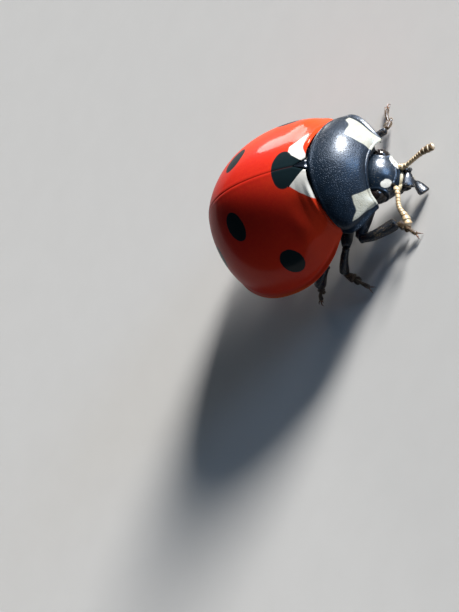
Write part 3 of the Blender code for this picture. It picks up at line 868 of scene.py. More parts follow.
def thorax_finish():
    surface = {"spacing": 0.05, "depth": 5e-6, "roughness": 0.44, "coat": 0.25}
    finish = black_finish("black_breast", UNDERSIDE_TINT, **surface)
    here = finish.here
    x, y, _ = split(here)
    out_x = x.by("ABSOLUTE")
    wobble = (noise(here, 5.0, 2.0) - 0.5) * 0.12
    # The cream side plate of the middle breast, in front of the groove that slants across the side.
    outside = (out_x - 1.33 + wobble).step(0.0, 0.03)
    ahead = (0.78 - y - (out_x - 1.3) * 0.2 + wobble).step(0.0, 0.03)
    behind = (y - 0.30 + (out_x - 1.3) * 0.45 + wobble).step(0.0, 0.03)
    finish.paint(mixed(outside * ahead * behind, finish.colour, cream(here)))
    return finish.material


THORAX_FINISH = thorax_finish()
thorax_shape = trunk_mesh("thorax", TRUNK_FRONT_Y, WAIST_Y, breast_belly, thorax_relief, 130, False)
breast = make_piece("breast_plates", thorax_shape, THORAX_FINISH)
set_in_place(breast, "underside", "thorax")
abdomen_shape = trunk_mesh("abdomen", WAIST_Y + 0.05, ABDOMEN_END, hind_belly, abdomen_relief, 150, True)
abdomen = make_piece("abdomen_rings", abdomen_shape, UNDERSIDE_FINISH.material)
set_in_place(abdomen, "underside", "abdomen")

# ---------------------------------------------------------------- head
# One hard black capsule with a groove above the lip plate, a rim round each eye, a socket for each feeler
# and two cream spots. It is level rings in its own frame, with the face along -Y and the mouth at -Z.

HEAD_PLACE = np.array((-0.08, -0.99, 0.98))
HEAD_TURN = (-0.547, 0.087, -0.081)
HEAD_HALF = (0.84, 0.50, 0.70)
LIP_LEVEL = -0.50
FACE_NARROWING = 0.22
EYE_HALF = (0.25, 0.27, 0.31)
EYE_PLACE = (0.66, -0.06, 0.07)
FEELER_SOCKET = (0.40, -0.34)
HEAD_AXES = np.array(Euler(HEAD_TURN).to_matrix())


def head_to_body(points):
    return np.asarray(points) @ HEAD_AXES.T + HEAD_PLACE


def head_mesh():
    """Level rings from the crown down to the lip, with the relief of the face."""
    levels, turns = 120, 180
    lowest = math.asin(LIP_LEVEL / HEAD_HALF[2])
    # Closer rings near the mouth, where the lip plate and the sockets are.
    latitudes = math.pi / 2 + (lowest - math.pi / 2) * steps(levels) ** 0.92
    angles = steps(turns, 0, 2 * math.pi)[:-1]
    grid = []
    for latitude in latitudes:
        z = HEAD_HALF[2] * math.sin(latitude)
        share = math.sqrt(max(1 - (z / HEAD_HALF[2]) ** 2, 0.0))
        half = HEAD_HALF[0] * share * (1 - FACE_NARROWING * max(-z / HEAD_HALF[2], 0.0))
        depth = HEAD_HALF[1] * share**0.9
        grid.append(np.stack([half * np.cos(angles), depth * np.sin(angles), np.full_like(angles, z)], 1))
    grid = np.array(grid)
    x, y, z = grid[..., 0], grid[..., 1], grid[..., 2]
    off = np.abs(x)
    face = 1 / (1 + np.exp(y / 0.05))
    measures = zip((off, y, z), EYE_PLACE, EYE_HALF)
    reach = np.sqrt(sum(((part - centre) / half) ** 2 for part, centre, half in measures))
    relief = 0.020 * hill(reach, 1.20, 0.09) - 0.030 * hill(reach, 1.02, 0.07)
    relief -= 0.10 * np.clip(1.0 - reach, 0.0, 1.0)
    # The cheek runs into the front of the eye as a small wedge.
    relief += 0.05 * hill(off, 0.62, 0.07) * hill(z, -0.16, 0.09) * face
    lip_line = z + 0.30 + 0.05 * np.cos(x / 0.5 * math.pi)
    relief -= 0.018 * hill(lip_line, 0.0, 0.018) * (off < 0.5) * face
    relief += 0.012 * hill(lip_line, -0.06, 0.04) * (off < 0.5) * face
    socket = np.hypot(off - FEELER_SOCKET[0], z - FEELER_SOCKET[1])
    relief += (0.020 * hill(socket, 0.11, 0.035) - 0.07 * hill(socket, 0.0, 0.07)) * face
    relief += 0.008 * hill(x, 0.0, 0.3) * hill(z, 0.15, 0.25) * face
    relief -= 0.012 * hill(off, 0.30, 0.10) * hill(z, 0.02, 0.2) * face
    relief += 0.03 * hill(z, LIP_LEVEL, 0.05) * face
    ringed = np.concatenate([grid[:, -1:], grid, grid[:, :1]], 1)
    relief = np.concatenate([relief[:, -1:], relief, relief[:, :1]], 1)
    grid = along_normals(ringed, -relief)[:, 1:-1]
    grid[0] = grid[0].mean(0)
    return lofted("head", head_to_body(grid), 55.0)


def in_head_frame(here):
    """Places in the head's own frame."""
    entries = {"Vector": here, "Location": tuple(HEAD_PLACE), "Rotation": HEAD_TURN}
    return out(add_node(here.tree, "ShaderNodeMapping", entries, vector_type="TEXTURE"))


# Black with a navy tint; the navy is painted sheen, for a blue reflection.
HEAD_BLACK_AND_SHEEN = (0.003, 0.009, 0.018)
FACE_CREAM = (0.54, 0.54, 0.50)
# Middle, half size and turn of the two cream spots, in the head's own frame.
LEFT_SPOT = ((0.44, -0.34, -0.30), (0.125, 0.30, 0.24), (0.0, 0.95, 0.0))
RIGHT_SPOT = ((-0.365, -0.44, -0.10), (0.125, 0.30, 0.19), (0.0, -0.45, 0.0))


def head_finish():
    surface = {"spacing": 0.034, "depth": 3.5e-6, "roughness": 0.33, "coat": 0.50}
    finish = black_finish("black_head", HEAD_BLACK_AND_SHEEN, **surface)
    at = in_head_frame(finish.here)
    wobble = (noise(finish.here, 7.0, 2.0) - 0.5) * 0.25
    nearest = oval_reach(at, *LEFT_SPOT).most(oval_reach(at, *RIGHT_SPOT))
    finish.paint(mixed(inside(nearest, wobble, 0.10), finish.colour, FACE_CREAM))
    return finish.material


HEAD_FINISH = head_finish()
head = make_piece("head_capsule", head_mesh(), HEAD_FINISH)
set_in_place(head, "head", "head")

# ---------------------------------------------------------------- eyes
# Two domes of close-set six-sided lenses, black with a faint brown depth. A node tree turns a fine ball into
# its six-sided dual, raises each face and draws it in, and stretches the whole to the eye's size.


def eye_tree():
    sizes = dict(zip(("Half width", "Half depth", "Half height"), EYE_HALF))
    tree, size = start_tree("eye_lenses", {**sizes, "Lens rise": 0.018, "Lens share": 0.80})
    ball = add_node(tree, "GeometryNodeMeshIcoSphere", {"Radius": 1.0, "Subdivisions": 5})
    lenses = out(add_node(tree, "GeometryNodeDualMesh", {"Mesh": out(ball)}))
    entries = {"Mesh": lenses, "Offset Scale": size["Lens rise"], "Individual": True}
    raised = add_node(tree, "GeometryNodeExtrudeMesh", entries)
    entries = {"Geometry": out(raised, "Mesh"), "Selection": out(raised, "Top"), "Scale": size["Lens share"]}
    drawn_in = out(add_node(tree, "GeometryNodeScaleElements", entries))
    at = out(tree.nodes.new("GeometryNodeInputPosition"))
    half = combined(size["Half width"], size["Half depth"], size["Half height"])
    stretched = out(add_node(tree, "ShaderNodeVectorMath", {0: at, 1: half}, operation="MULTIPLY"))
    entries = {"Geometry": drawn_in, "Position": stretched}
    end_tree(tree, size, out(add_node(tree, "GeometryNodeSetPosition", entries)))
    return tree


def eye_finish():
    finish = Finish("eye_black", roughness=0.16, coat=0.4, coat_roughness=0.06)
    depth = noise(finish.here, 3.0, 2.0)
    finish.paint(mixed(depth.step(0.3, 0.75), (0.006, 0.005, 0.006), (0.014, 0.009, 0.008)))
    finish.set("Roughness", noise(finish.here, 30.0, 2.0) * 0.2 + 0.08)
    finish.roughen(noise(finish.here, 60.0, 2.0), 1e-6)
    return finish.material


EYE_FINISH = eye_finish()
EYE_TREE = eye_tree()
for side_name, sign in SIDES:
    eye = grow("compound_eye_" + side_name, EYE_TREE, {"Finish": EYE_FINISH})
    eye_place = head_to_body((sign * EYE_PLACE[0], EYE_PLACE[1], EYE_PLACE[2]))
    eye.data.transform(Matrix.Translation(eye_place) @ Matrix(HEAD_AXES.tolist()).to_4x4())
    close_up(eye.data, 60.0, 1e-4)
    set_in_place(eye, "eye", "eye_" + side_name)

# ---------------------------------------------------------------- mouthparts
# Hard black parts under the face: the upper lip with a pale upper edge, two curved jaws, two side jaws, and
# the lower lip with its two short palps. Each is a closed tube or plate along a path.


def smooth_path(points, count=80):
    """A curve through points, as evenly spaced places along it."""
    points = np.asarray(points, float)
    knots = np.concatenate([2 * points[:1] - points[1:2], points, 2 * points[-1:] - points[-2:-1]])
    at = np.linspace(0, len(points) - 1, 400)
    start = np.minimum(at.astype(int), len(points) - 2)
    t = (at - start)[:, None]
    a, b, c, d = (knots[start + k] for k in range(4))
    fine = 0.5 * (2 * b + (c - a) * t + (2 * a - 5 * b + 4 * c - d) * t**2 + (3 * b - a - 3 * c + d) * t**3)
    return places_on(fine, steps(count - 1))


def places_on(path, shares):
    """Places at given shares of a path's length."""
    run = np.concatenate([[0.0], np.cumsum(np.linalg.norm(np.diff(path, axis=0), axis=1))])
    return np.stack([np.interp(np.asarray(shares) * run[-1], run, path[:, k]) for k in range(3)], 1)


def rings_along(centres, wide, thick, up, sides):
    """Oval rings round a path: half widths across, and half thicknesses towards `up`."""
    ahead = np.gradient(centres, axis=0)
    ahead /= np.linalg.norm(ahead, axis=1, keepdims=True)
    side = np.cross(ahead, np.asarray(up, float))
    side /= np.linalg.norm(side, axis=1, keepdims=True)
    top = np.cross(side, ahead)
    angles = steps(sides, 0, 2 * math.pi)[:-1]
    across = side[:, None] * np.cos(angles)[None, :, None] * np.asarray(wide)[:, None, None]
    upward = top[:, None] * np.sin(angles)[None, :, None] * np.asarray(thick)[:, None, None]
    return centres[:, None] + across + upward


def limb_part(shape, path, span, profile, flat, up, tile, size=(22, 26), ends=(0.1, 0.1)):
    """One hard segment: a closed tube over a span of a path, with half widths by share and rounded ends.
    Flat is its thickness as a share of its width, tile its place on the unwrap, size its rings and sides."""
    rows, sides = size
    shares = (1 - np.cos(np.pi * steps(rows))) / 2
    centres = places_on(path, span[0] + (span[1] - span[0]) * shares)
    at, half = np.array(profile).T
    wide = np.interp(shares, at, half)
    wide = np.convolve(np.pad(wide, 1, "edge"), (0.25, 0.5, 0.25), "valid")
    near = np.minimum(shares / ends[0], 1.0), np.minimum((1 - shares) / ends[1], 1.0)
    wide = wide * np.sqrt(1 - (1 - near[0]) ** 2) * np.sqrt(1 - (1 - near[1]) ** 2) + 1e-5
    shape.loft(rings_along(centres, wide, wide * flat, up, sides), tile)


FINE_WELD = 1e-5
WHOLE = (0.0, 1.0)
FACING = (0.0, -1.0, 0.0)
# Paths in the head's frame, for the left side.
JAW = ((0.33, -0.14, -0.48), (0.31, -0.24, -0.66), (0.17, -0.27, -0.79), (-0.01, -0.25, -0.84))
SIDE_JAW = ((0.29, 0.10, -0.44), (0.31, 0.04, -0.60), (0.24, -0.05, -0.74))
INNER_LOBE = ((0.22, -0.05, -0.70), (0.14, -0.10, -0.80), (0.08, -0.14, -0.87))
LIP_PALP = ((0.07, -0.02, -0.80), (0.13, -0.10, -0.90), (0.13, -0.21, -0.99))
# Span of the path and half width of each segment.
LIP_PALP_SEGMENTS = (((0.0, 0.3), 0.035), ((0.26, 0.62), 0.045), ((0.58, 1.0), 0.040))
LIP_PLATE = ((0, 0.24, -0.44), (0, 0.16, -0.62), (0, 0.04, -0.78))
TONGUE = ((0, 0.06, -0.72), (0, -0.05, -0.86), (0, -0.12, -0.92))


def head_frame_mesh(shape, name):
    shape.points = list(map(tuple, head_to_body(np.array(shape.points))))
    shape.ways = list(map(tuple, np.array(shape.ways) @ HEAD_AXES.T))
    return shape.mesh(name, 50.0, FINE_WELD)


def mouth_mesh():
    shape = Shape()
    # Upper lip: a bent plate, wider than high, with rounded lower corners.
    rows, turns = 16, 30
    shares = (1 - np.cos(np.pi * steps(rows))) / 2
    across = steps(turns, -1.0, 1.0)
    outer, inner = [], []
    for share in shares:
        corner = math.sqrt(max(1 - max(share - 0.55, 0.0) ** 2 / 0.2026, 0.0))
        reach = across * (0.27 + 0.05 * math.sin(share * math.pi)) * corner
        bow = 0.10 * across**2
        z = np.full_like(across, -0.50 - 0.23 * share)
        bulge = 0.035 * math.sin(math.pi * share) * (1 - across**2) - 0.02 * hill(share, 0.12, 0.05)
        outer.append(np.stack([reach, -0.335 + bow - bulge + 0.05 * share**2, z], 1))
        inner.append(np.stack([reach, -0.275 + bow + 0.05 * share**2, z], 1))
    rings = [np.concatenate([front, back[::-1]]) for front, back in zip(outer, inner)]
    shape.loft(rings, (0.0, 0.0, 0.3, 0.2))
    for _, sign in SIDES:
        mirror = (sign, 1.0, 1.0)
        # Jaw: thick at the cheek, curved in to a point under the lip.
        path = smooth_path(np.multiply(JAW, mirror))
        profile = [(0, 0.12), (0.35, 0.13), (0.7, 0.085), (0.9, 0.045), (1, 0.02)]
        limb_part(shape, path, WHOLE, profile, 0.8, FACING, (0.3, 0.0, 0.5, 0.3))
        # Side jaw: a base, and an inner lobe that ends in hairs.
        path = smooth_path(np.multiply(SIDE_JAW, mirror))
        profile = [(0, 0.10), (0.5, 0.12), (1, 0.10)]
        limb_part(shape, path, WHOLE, profile, 0.8, FACING, (0.5, 0.0, 0.7, 0.3), ends=(0.1, 0.25))
        path = smooth_path(np.multiply(INNER_LOBE, mirror))
        profile = [(0, 0.06), (0.6, 0.07), (1, 0.05)]
        limb_part(shape, path, WHOLE, profile, 0.7, FACING, (0.5, 0.3, 0.7, 0.5), (16, 18), (0.1, 0.4))
        # Palp of the lower lip: three short segments.
        path = smooth_path(np.multiply(LIP_PALP, mirror))
        for number, (span, half) in enumerate(LIP_PALP_SEGMENTS):
            profile = [(0, half * 0.7), (0.7, half), (1, half * 0.8)]
            low = 0.5 + 0.1 * number
            tile = (0.5, low, 0.6, low + 0.1)
            limb_part(shape, path, span, profile, 1.0, FACING, tile, (12, 16), (0.2, 0.3))
    # Lower lip: a central plate behind the jaws, with a rounded tongue.
    path = smooth_path(LIP_PLATE)
    profile = [(0, 0.20), (0.5, 0.22), (1, 0.17)]
    limb_part(shape, path, WHOLE, profile, 0.5, FACING, (0.0, 0.5, 0.3, 0.8), (22, 30), (0.1, 0.12))
    path = smooth_path(TONGUE)
    profile = [(0, 0.11), (0.6, 0.13), (1, 0.11)]
    limb_part(shape, path, WHOLE, profile, 0.45, FACING, (0.0, 0.8, 0.3, 1.0), (16, 24), (0.1, 0.4))
    return head_frame_mesh(shape, "mouthparts")


MOUTH_TINT = (0.010, 0.010, 0.013)
LIP_CREAM = (0.52, 0.48, 0.36)


def mouth_finish():
    surface = {"spacing": 0.04, "depth": 3e-6, "roughness": 0.32, "coat": 0.5}
    finish = black_finish("black_mouthparts", MOUTH_TINT, **surface)
    _, y, z = split(in_head_frame(finish.here))
    wobble = (noise(finish.here, 9.0, 2.0) - 0.5) * 0.03
    # The skin at the upper edge of the lip is pale, and so are the tips of the inner lobes.
    edge = (z + wobble).step(-0.635, -0.605) * (y + wobble).step(-0.18, -0.23)
    tips = (z + wobble).step(-0.83, -0.88) * y.step(-0.02, -0.06) * 0.5
    finish.paint(mixed(edge.least(tips), finish.colour, LIP_CREAM))
    return finish.material


MOUTH_FINISH = mouth_finish()
mouth = make_piece("mouthparts_set", mouth_mesh(), MOUTH_FINISH)
set_in_place(mouth, "mouthparts", "mouthparts")

# ---------------------------------------------------------------- palps
# The two long palps of the side jaws: three thin black segments and a last one like a hatchet blade, with a
# pale soft edge to smell and taste with. They are flattened tubes along a path in the head's frame.

PALP_PATHS = {
    "left": (
        (0.28, -0.04, -0.62), (0.34, -0.24, -0.80), (0.26, -0.42, -0.80),
        (0.12, -0.50, -0.75), (-0.38, -0.52, -0.78),
    ),
    "right": (
        (-0.28, -0.04, -0.62), (-0.34, -0.24, -0.78), (-0.20, -0.36, -0.92),
        (-0.12, -0.42, -1.00), (-0.46, -0.52, -1.31),
    ),
}
# Span of the path, and the half width at the start and at the widest place.
PALP_SEGMENTS = (
    ((0.00, 0.14), 0.050, 0.055),
    ((0.12, 0.40), 0.042, 0.075),
    ((0.38, 0.58), 0.045, 0.080),
)


def palp_mesh(side):
    shape = Shape()
    path = smooth_path(PALP_PATHS[side])
    for number, (span, thin, thick) in enumerate(PALP_SEGMENTS):
        profile = [(0, thin * 0.8), (0.25, thin), (0.8, thick), (1, thick * 0.85)]
        low = number * 0.2
        tile = (0.0, low, 1.0, low + 0.2)
        limb_part(shape, path, span, profile, 0.85, FACING, tile, (18, 24), (0.15, 0.2))
    blade = [(0, 0.05), (0.12, 0.095), (0.4, 0.16), (0.8, 0.205), (1, 0.20)]
    limb_part(shape, path, (0.55, 1.0), blade, 0.38, FACING, (0.0, 0.6, 1.0, 1.0), (30, 36), (0.12, 0.07))
    return head_frame_mesh(shape, "palp_" + side)


BLADE_EDGE = (0.55, 0.42, 0.26)
JOINT_BROWN = (0.30, 0.17, 0.07)


def palp_finish():
    surface = {"spacing": 0.035, "depth": 2.5e-6, "roughness": 0.34, "coat": 0.4}
    finish = black_finish("black_palp", MOUTH_TINT, **surface)
    _, along = finish.unwrap()
    wobble = (noise(finish.here, 12.0, 2.0) - 0.5) * 0.01
    # The pale edge of the blade, and the brown joint at the base.
    colour = mixed((along + wobble).step(0.982, 0.992), finish.colour, BLADE_EDGE)
    finish.paint(mixed((along + wobble).step(0.16, 0.04) * 0.6, colour, JOINT_BROWN))
    return finish.material


PALP_FINISH = palp_finish()
palps = {}
for side_name in ("left", "right"):
    palps[side_name] = make_piece("hatchet_palp_" + side_name, palp_mesh(side_name), PALP_FINISH)
    set_in_place(palps[side_name], "mouthparts", "palp_" + side_name)

# ---------------------------------------------------------------- feelers
# Each antenna has eleven segments: a stout first one in the socket, a short round one, six thin ones, and a
# club of three flattened ones. They are ochre, browner towards the club, with a paler end on each.

FEELER_PATHS = {
    "left": (
        (0.36, -0.26, -0.44), (0.32, -0.44, -0.61), (0.44, -0.78, -0.79),
        (0.61, -1.10, -1.00), (0.69, -1.45, -1.24),
    ),
    "right": (
        (-0.36, -0.26, -0.44), (-0.59, -0.42, -0.475), (-1.08, -0.45, -0.57),
        (-1.37, -0.50, -0.77), (-1.67, -0.54, -0.92),
    ),
}
# Start and end as shares of the length, half widths at the start, the widest place and the end, and the
# thickness as a share of the width.
FEELER_SEGMENTS = (
    (0.000, 0.170, 0.082, 0.104, 0.088, 1.0),
    (0.155, 0.250, 0.070, 0.084, 0.072, 1.0),
    (0.238, 0.350, 0.064, 0.073, 0.067, 1.0),
    (0.338, 0.420, 0.063, 0.073, 0.067, 1.0),
    (0.408, 0.485, 0.064, 0.074, 0.068, 1.0),
    (0.473, 0.545, 0.065, 0.077, 0.070, 0.97),
    (0.533, 0.605, 0.068, 0.081, 0.074, 0.94),
    (0.593, 0.667, 0.072, 0.089, 0.082, 0.90),
    (0.653, 0.770, 0.078, 0.114, 0.104, 0.76),
    (0.753, 0.885, 0.096, 0.136, 0.126, 0.70),
    (0.868, 1.000, 0.110, 0.132, 0.080, 0.62),
)


def feeler_mesh(side):
    shape = Shape()
    path = smooth_path(FEELER_PATHS[side])
    for number, (first, last, thin, thick, end, flat) in enumerate(FEELER_SEGMENTS):
        profile = [(0, thin), (0.3, (thin + thick) / 2), (0.75, thick), (1, end)]
        low = number / len(FEELER_SEGMENTS)
        tile = (0.0, low, 1.0, low + 1 / len(FEELER_SEGMENTS))
        # The last segment is rounded off more at its end.
        ends = (0.16, 0.42) if last == 1.0 else (0.16, 0.20)
        limb_part(shape, path, (first, last), profile, flat, FACING, tile, (20, 24), ends)
    return head_frame_mesh(shape, "feeler_" + side)


OCHRE = (0.46, 0.33, 0.18)
PALE_OCHRE = (0.60, 0.48, 0.30)
CLUB_BROWN = (0.060, 0.030, 0.016)
PALE_BROWN = (0.18, 0.085, 0.035)
SEGMENT_END = (0.62, 0.55, 0.42)
SEGMENT_START = (0.10, 0.045, 0.018)


def feeler_finish():
    finish = Finish("feeler_ochre", roughness=0.38, coat=0.25, coat_roughness=0.15)
    here = finish.here
    _, along = finish.unwrap()
    within = (along * float(len(FEELER_SEGMENTS))).by("FRACT")
    patchy = noise(here, 6.0, 3.0)
    ochre = mixed(patchy.step(0.3, 0.7), OCHRE, PALE_OCHRE)
    brown = mixed(patchy.step(0.35, 0.65), CLUB_BROWN, PALE_BROWN)
    # The club is browner, and more so on the left.
    x, _, _ = split(here)
    club = ((along + patchy * 0.1).step(0.40, 0.86) * 0.75).least(along.step(0.70, 0.74) * 0.6)
    colour = mixed(club * (x.step(-0.2, 0.4) * 0.65 + 0.35), ochre, brown)
    colour = mixed(within.step(0.62, 0.90) * 0.8, colour, SEGMENT_END)
    finish.paint(mixed(within.step(0.10, 0.0) * 0.7, colour, SEGMENT_START))
    finish.set("Subsurface Weight", 0.12)
    finish.set("Subsurface Scale", 8e-5)
    finish.set("Subsurface Radius", (1.0, 0.5, 0.25))
    finish.roughen(pits(here, 0.03, 0.45) + noise(here, 30.0, 2.0), 2.5e-6)
    return finish.material


FEELER_FINISH = feeler_finish()
feelers = {}
for side_name in ("left", "right"):
    feelers[side_name] = make_piece("feeler_" + side_name, feeler_mesh(side_name), FEELER_FINISH)
    set_in_place(feelers[side_name], "antenna", "antenna_" + side_name)

# ---------------------------------------------------------------- legs
# Six jointed black legs, set still: a hip cone in its socket, a small second segment, a spindle thigh, a
# slender shin, and a foot of a wedge, a two-lobed pad and a thin claw segment. One skin of hard tubes each.

TOE_HEIGHT = 0.115
# Hip, knee, ankle, toe, how far the middle of the shin bows out, and how stout the shin is.
LEGS = {
    "fore_left": (
        (0.48, -0.42, 0.60), (1.42, -0.06, 0.93), (1.84, -0.80, 0.44), (2.78, -0.53),
        (-0.05, 0.0, 0.05), 1.15,
    ),
    "mid_left": (
        (0.75, 0.62, 0.56), (2.00, 0.85, 0.90), (2.40, 1.52, 0.42), (2.92, 1.72),
        (0.06, 0.02, 0.05), 1.15,
    ),
    "hind_left": (
        (0.80, 1.95, 0.50), (2.05, 2.05, 0.79), (2.42, 2.95, 0.40), (2.72, 3.60),
        (0.06, 0.0, 0.05), 1.15,
    ),
    "fore_right": (
        (-0.55, -0.40, 0.62), (-1.78, 0.02, 0.95), (-1.46, -1.12, 0.42), (-1.92, -1.62),
        (-0.16, 0.0, 0.10), 1.75,
    ),
    "mid_right": (
        (-0.75, 0.66, 0.56), (-1.84, 0.62, 0.92), (-2.38, 1.20, 0.42), (-3.03, 0.42),
        (-0.06, 0.0, 0.05), 1.4,
    ),
    "hind_right": (
        (-0.80, 1.95, 0.50), (-2.05, 1.62, 0.80), (-2.42, 2.30, 0.40), (-2.74, 2.52),
        (-0.06, 0.0, 0.05), 1.75,
    ),
}
UPRIGHT = (0.0, 0.0, 1.0)
# The path of a hip cone, as steps from the hip, for the left side.
HIP_STEPS = ((-0.14, 0.05, 0.34), (-0.05, 0.02, 0.12), (0.02, 0.0, -0.06))
# Half widths of the parts of a leg, by share of their length.
HIP_PROFILE = ((0, 0.20), (0.5, 0.20), (1, 0.13))
SECOND_PROFILE = ((0, 0.10), (0.5, 0.125), (1, 0.13))
THIGH_PROFILE = ((0, 0.105), (0.15, 0.155), (0.45, 0.195), (0.75, 0.18), (0.93, 0.135), (1, 0.12))
SHIN_PROFILE = (
    (0, 0.088), (0.05, 0.094), (0.13, 0.079), (0.45, 0.094), (0.78, 0.112), (0.92, 0.114), (1, 0.090),
)
SPINE_PROFILE = ((0, 0.018), (1, 0.004))
WEDGE_PROFILE = ((0, 0.070), (0.25, 0.098), (0.8, 0.150), (1, 0.13))
LOBE_PROFILE = ((0, 0.055), (0.6, 0.090), (1, 0.07))
STALK_PROFILE = ((0, 0.042), (0.4, 0.052), (0.85, 0.072), (1, 0.062))
HOOK_PROFILE = ((0, 0.026), (0.3, 0.026), (0.65, 0.017), (1, 0.005))
TOOTH_PROFILE = ((0, 0.022), (0.5, 0.018), (1, 0.005))
# Steps of each path from the end of the foot: ahead, outwards and up.
HOOK_STEPS = ((-0.02, 0.018, 0.0), (0.06, 0.045, 0.022), (0.13, 0.085, -0.02), (0.145, 0.105, -0.099))
TOOTH_STEPS = ((0.015, 0.03, 0.0), (0.035, 0.042, -0.035), (0.065, 0.055, -0.058))
CLAW_PARTS = (
    (HOOK_STEPS, HOOK_PROFILE, (0.0, 0.0, 0.5, 1.0), (22, 14), (0.1, 0.03)),
    (TOOTH_STEPS, TOOTH_PROFILE, (0.5, 0.0, 1.0, 1.0), (12, 12), (0.1, 0.05)),
)


def foot_frame(ankle, toe):
    """The way a foot points on the floor, and the way to its side."""
    ahead = np.array((toe[0] - ankle[0], toe[1] - ankle[1], 0.0))
    ahead /= np.linalg.norm(ahead)
    return ahead, np.cross(ahead, UPRIGHT)


def leg_mesh(name):
    hip, knee, ankle, toe, bow, stout = LEGS[name]
    hip, knee, ankle, bow = (np.array(place) for place in (hip, knee, ankle, bow))
    toe = np.array((*toe, TOE_HEIGHT))
    sign = 1.0 if "left" in name else -1.0
    shape = Shape()
    out_way = (sign, 1.0, 1.0)
    cone = smooth_path([hip + np.multiply(step, out_way) for step in HIP_STEPS])
    limb_part(shape, cone, WHOLE, HIP_PROFILE, 1.1, (0, 1, 0), (0.0, 0.0, 0.35, 0.2), ends=(0.1, 0.2))
    thigh = smooth_path([hip, (hip + knee) / 2 + (0, 0, 0.07), knee])
    tile = (0.0, 0.2, 0.35, 0.3)
    limb_part(shape, thigh, (0.0, 0.17), SECOND_PROFILE, 1.1, UPRIGHT, tile, (16, 26), (0.3, 0.2))
    tile = (0.0, 0.3, 0.35, 1.0)
    limb_part(shape, thigh, (0.13, 1.0), THIGH_PROFILE, 1.12, UPRIGHT, tile, (44, 32), (0.07, 0.05))
    shin = smooth_path([knee + (0, 0, -0.01), (knee * 0.55 + ankle * 0.45) + bow, ankle])
    profile = [(share, half * stout) for share, half in SHIN_PROFILE]
    tile = (0.35, 0.0, 0.65, 1.0)
    limb_part(shape, shin, WHOLE, profile, 0.95, (0.3 * sign, 0.2, 1.0), tile, (44, 28), (0.08, 0.09))
    ahead, side = foot_frame(ankle, toe)
    if "fore" not in name:
        for way in (-1.0, 1.0):
            root = ankle + side * 0.06 * way
            point = ankle + side * 0.085 * way + ahead * 0.03 + (0, 0, -0.13)
            tile = (0.65, 0.9, 0.7, 1.0)
            limb_part(shape, smooth_path([root, point]), WHOLE, SPINE_PROFILE, 1.0, ahead, tile, (8, 8))
    foot = smooth_path([ankle + ahead * 0.02, ankle * 0.52 + toe * 0.48 + (0, 0, -0.085), toe])
    tile = (0.7, 0.0, 1.0, 0.3)
    limb_part(shape, foot, (0.0, 0.36), WEDGE_PROFILE, 0.75, UPRIGHT, tile, (22, 26), (0.1, 0.16))
    first, middle, last = places_on(foot, (0.29, 0.42, 0.56))
    for way in (-1.0, 1.0):
        spread = middle + side * 0.038 * way + (0, 0, -0.01)
        end = last + side * 0.068 * way + (0, 0, -0.02)
        lobe = smooth_path([first, spread, end])
        tile = (0.7, 0.3, 1.0, 0.6)
        limb_part(shape, lobe, WHOLE, LOBE_PROFILE, 0.62, UPRIGHT, tile, (18, 22), (0.12, 0.3))
    start = places_on(foot, (0.40,))[0]
    stalk = smooth_path([start + (0, 0, 0.02), (start + toe) / 2 + (0, 0, 0.06), toe])
    tile = (0.7, 0.6, 1.0, 1.0)
    limb_part(shape, stalk, WHOLE, STALK_PROFILE, 1.0, UPRIGHT, tile, (24, 20), (0.05, 0.08))
    # The sole stays just above the floor.
    shape.points = [(x, y, max(z, 0.004)) for x, y, z in shape.points]
    return shape.mesh("leg_" + name, 50.0, FINE_WELD)


def claws_mesh(name):
    """Two hooks with a tooth at the base of each, spread to both sides of the toe and down to the floor."""
    ankle, toe = LEGS[name][2:4]
    ahead, side = foot_frame(ankle, toe)
    root = np.array((*toe, TOE_HEIGHT - 0.01))
    shape = Shape()
    for way in (-1.0, 1.0):
        out_way = side * way
        for claw_steps, profile, tile, size, ends in CLAW_PARTS:
            path = smooth_path([root + ahead * a + out_way * b + (0, 0, c) for a, b, c in claw_steps])
            limb_part(shape, path, WHOLE, profile, 0.8, out_way, tile, size, ends)
    shape.points = [(x, y, max(z, 0.0)) for x, y, z in shape.points]
    return shape.mesh("claws_" + name, 50.0, FINE_WELD)


LEG_TINT = (0.009, 0.010, 0.013)
DARK_FOOT = (0.045, 0.028, 0.015)
FOOT_BROWN = (0.120, 0.072, 0.034)
CLAW_ROOT = (0.20, 0.075, 0.022)
CLAW_POINT = (0.035, 0.012, 0.006)


def leg_finish():
    surface = {"spacing": 0.035, "depth": 3.5e-6, "roughness": 0.38, "coat": 0.35}
    finish = black_finish("black_leg", LEG_TINT, **surface)
    across, _ = finish.unwrap()
    patchy = noise(finish.here, 5.0, 3.0)
    brown = mixed(patchy.step(0.3, 0.7), DARK_FOOT, FOOT_BROWN)
    # The feet, which lie at one end of the unwrap, are browner.
    finish.paint(mixed(across.step(0.66, 0.70) * 0.7, finish.colour, brown))
    return finish.material


def claw_finish():
    finish = Finish("claw_horn", roughness=0.28, coat=0.5, coat_roughness=0.08)
    here = finish.here
    _, along = finish.unwrap()
    darker = along + noise(here, 8.0, 2.0) * 0.3 - 0.15
    finish.paint(mixed(darker, CLAW_ROOT, CLAW_POINT))
    finish.set("Subsurface Weight", 0.1)
    finish.set("Subsurface Scale", 4e-5)
    finish.roughen(noise(here, 30.0, 2.0), 1.5e-6)
    return finish.material


LEG_FINISH = leg_finish()
CLAW_FINISH = claw_finish()
legs = {}
for leg_name in LEGS:
    legs[leg_name] = make_piece("leg_" + leg_name, leg_mesh(leg_name), LEG_FINISH)
    nodes = ["leg_" + leg_name + "_" + part for part in ("femur", "tibia", "tarsus")]
    set_in_place(legs[leg_name], "leg", *nodes)
    claws = make_piece("claws_" + leg_name, claws_mesh(leg_name), CLAW_FINISH)
    set_in_place(claws, "leg", "leg_" + leg_name + "_tarsus")

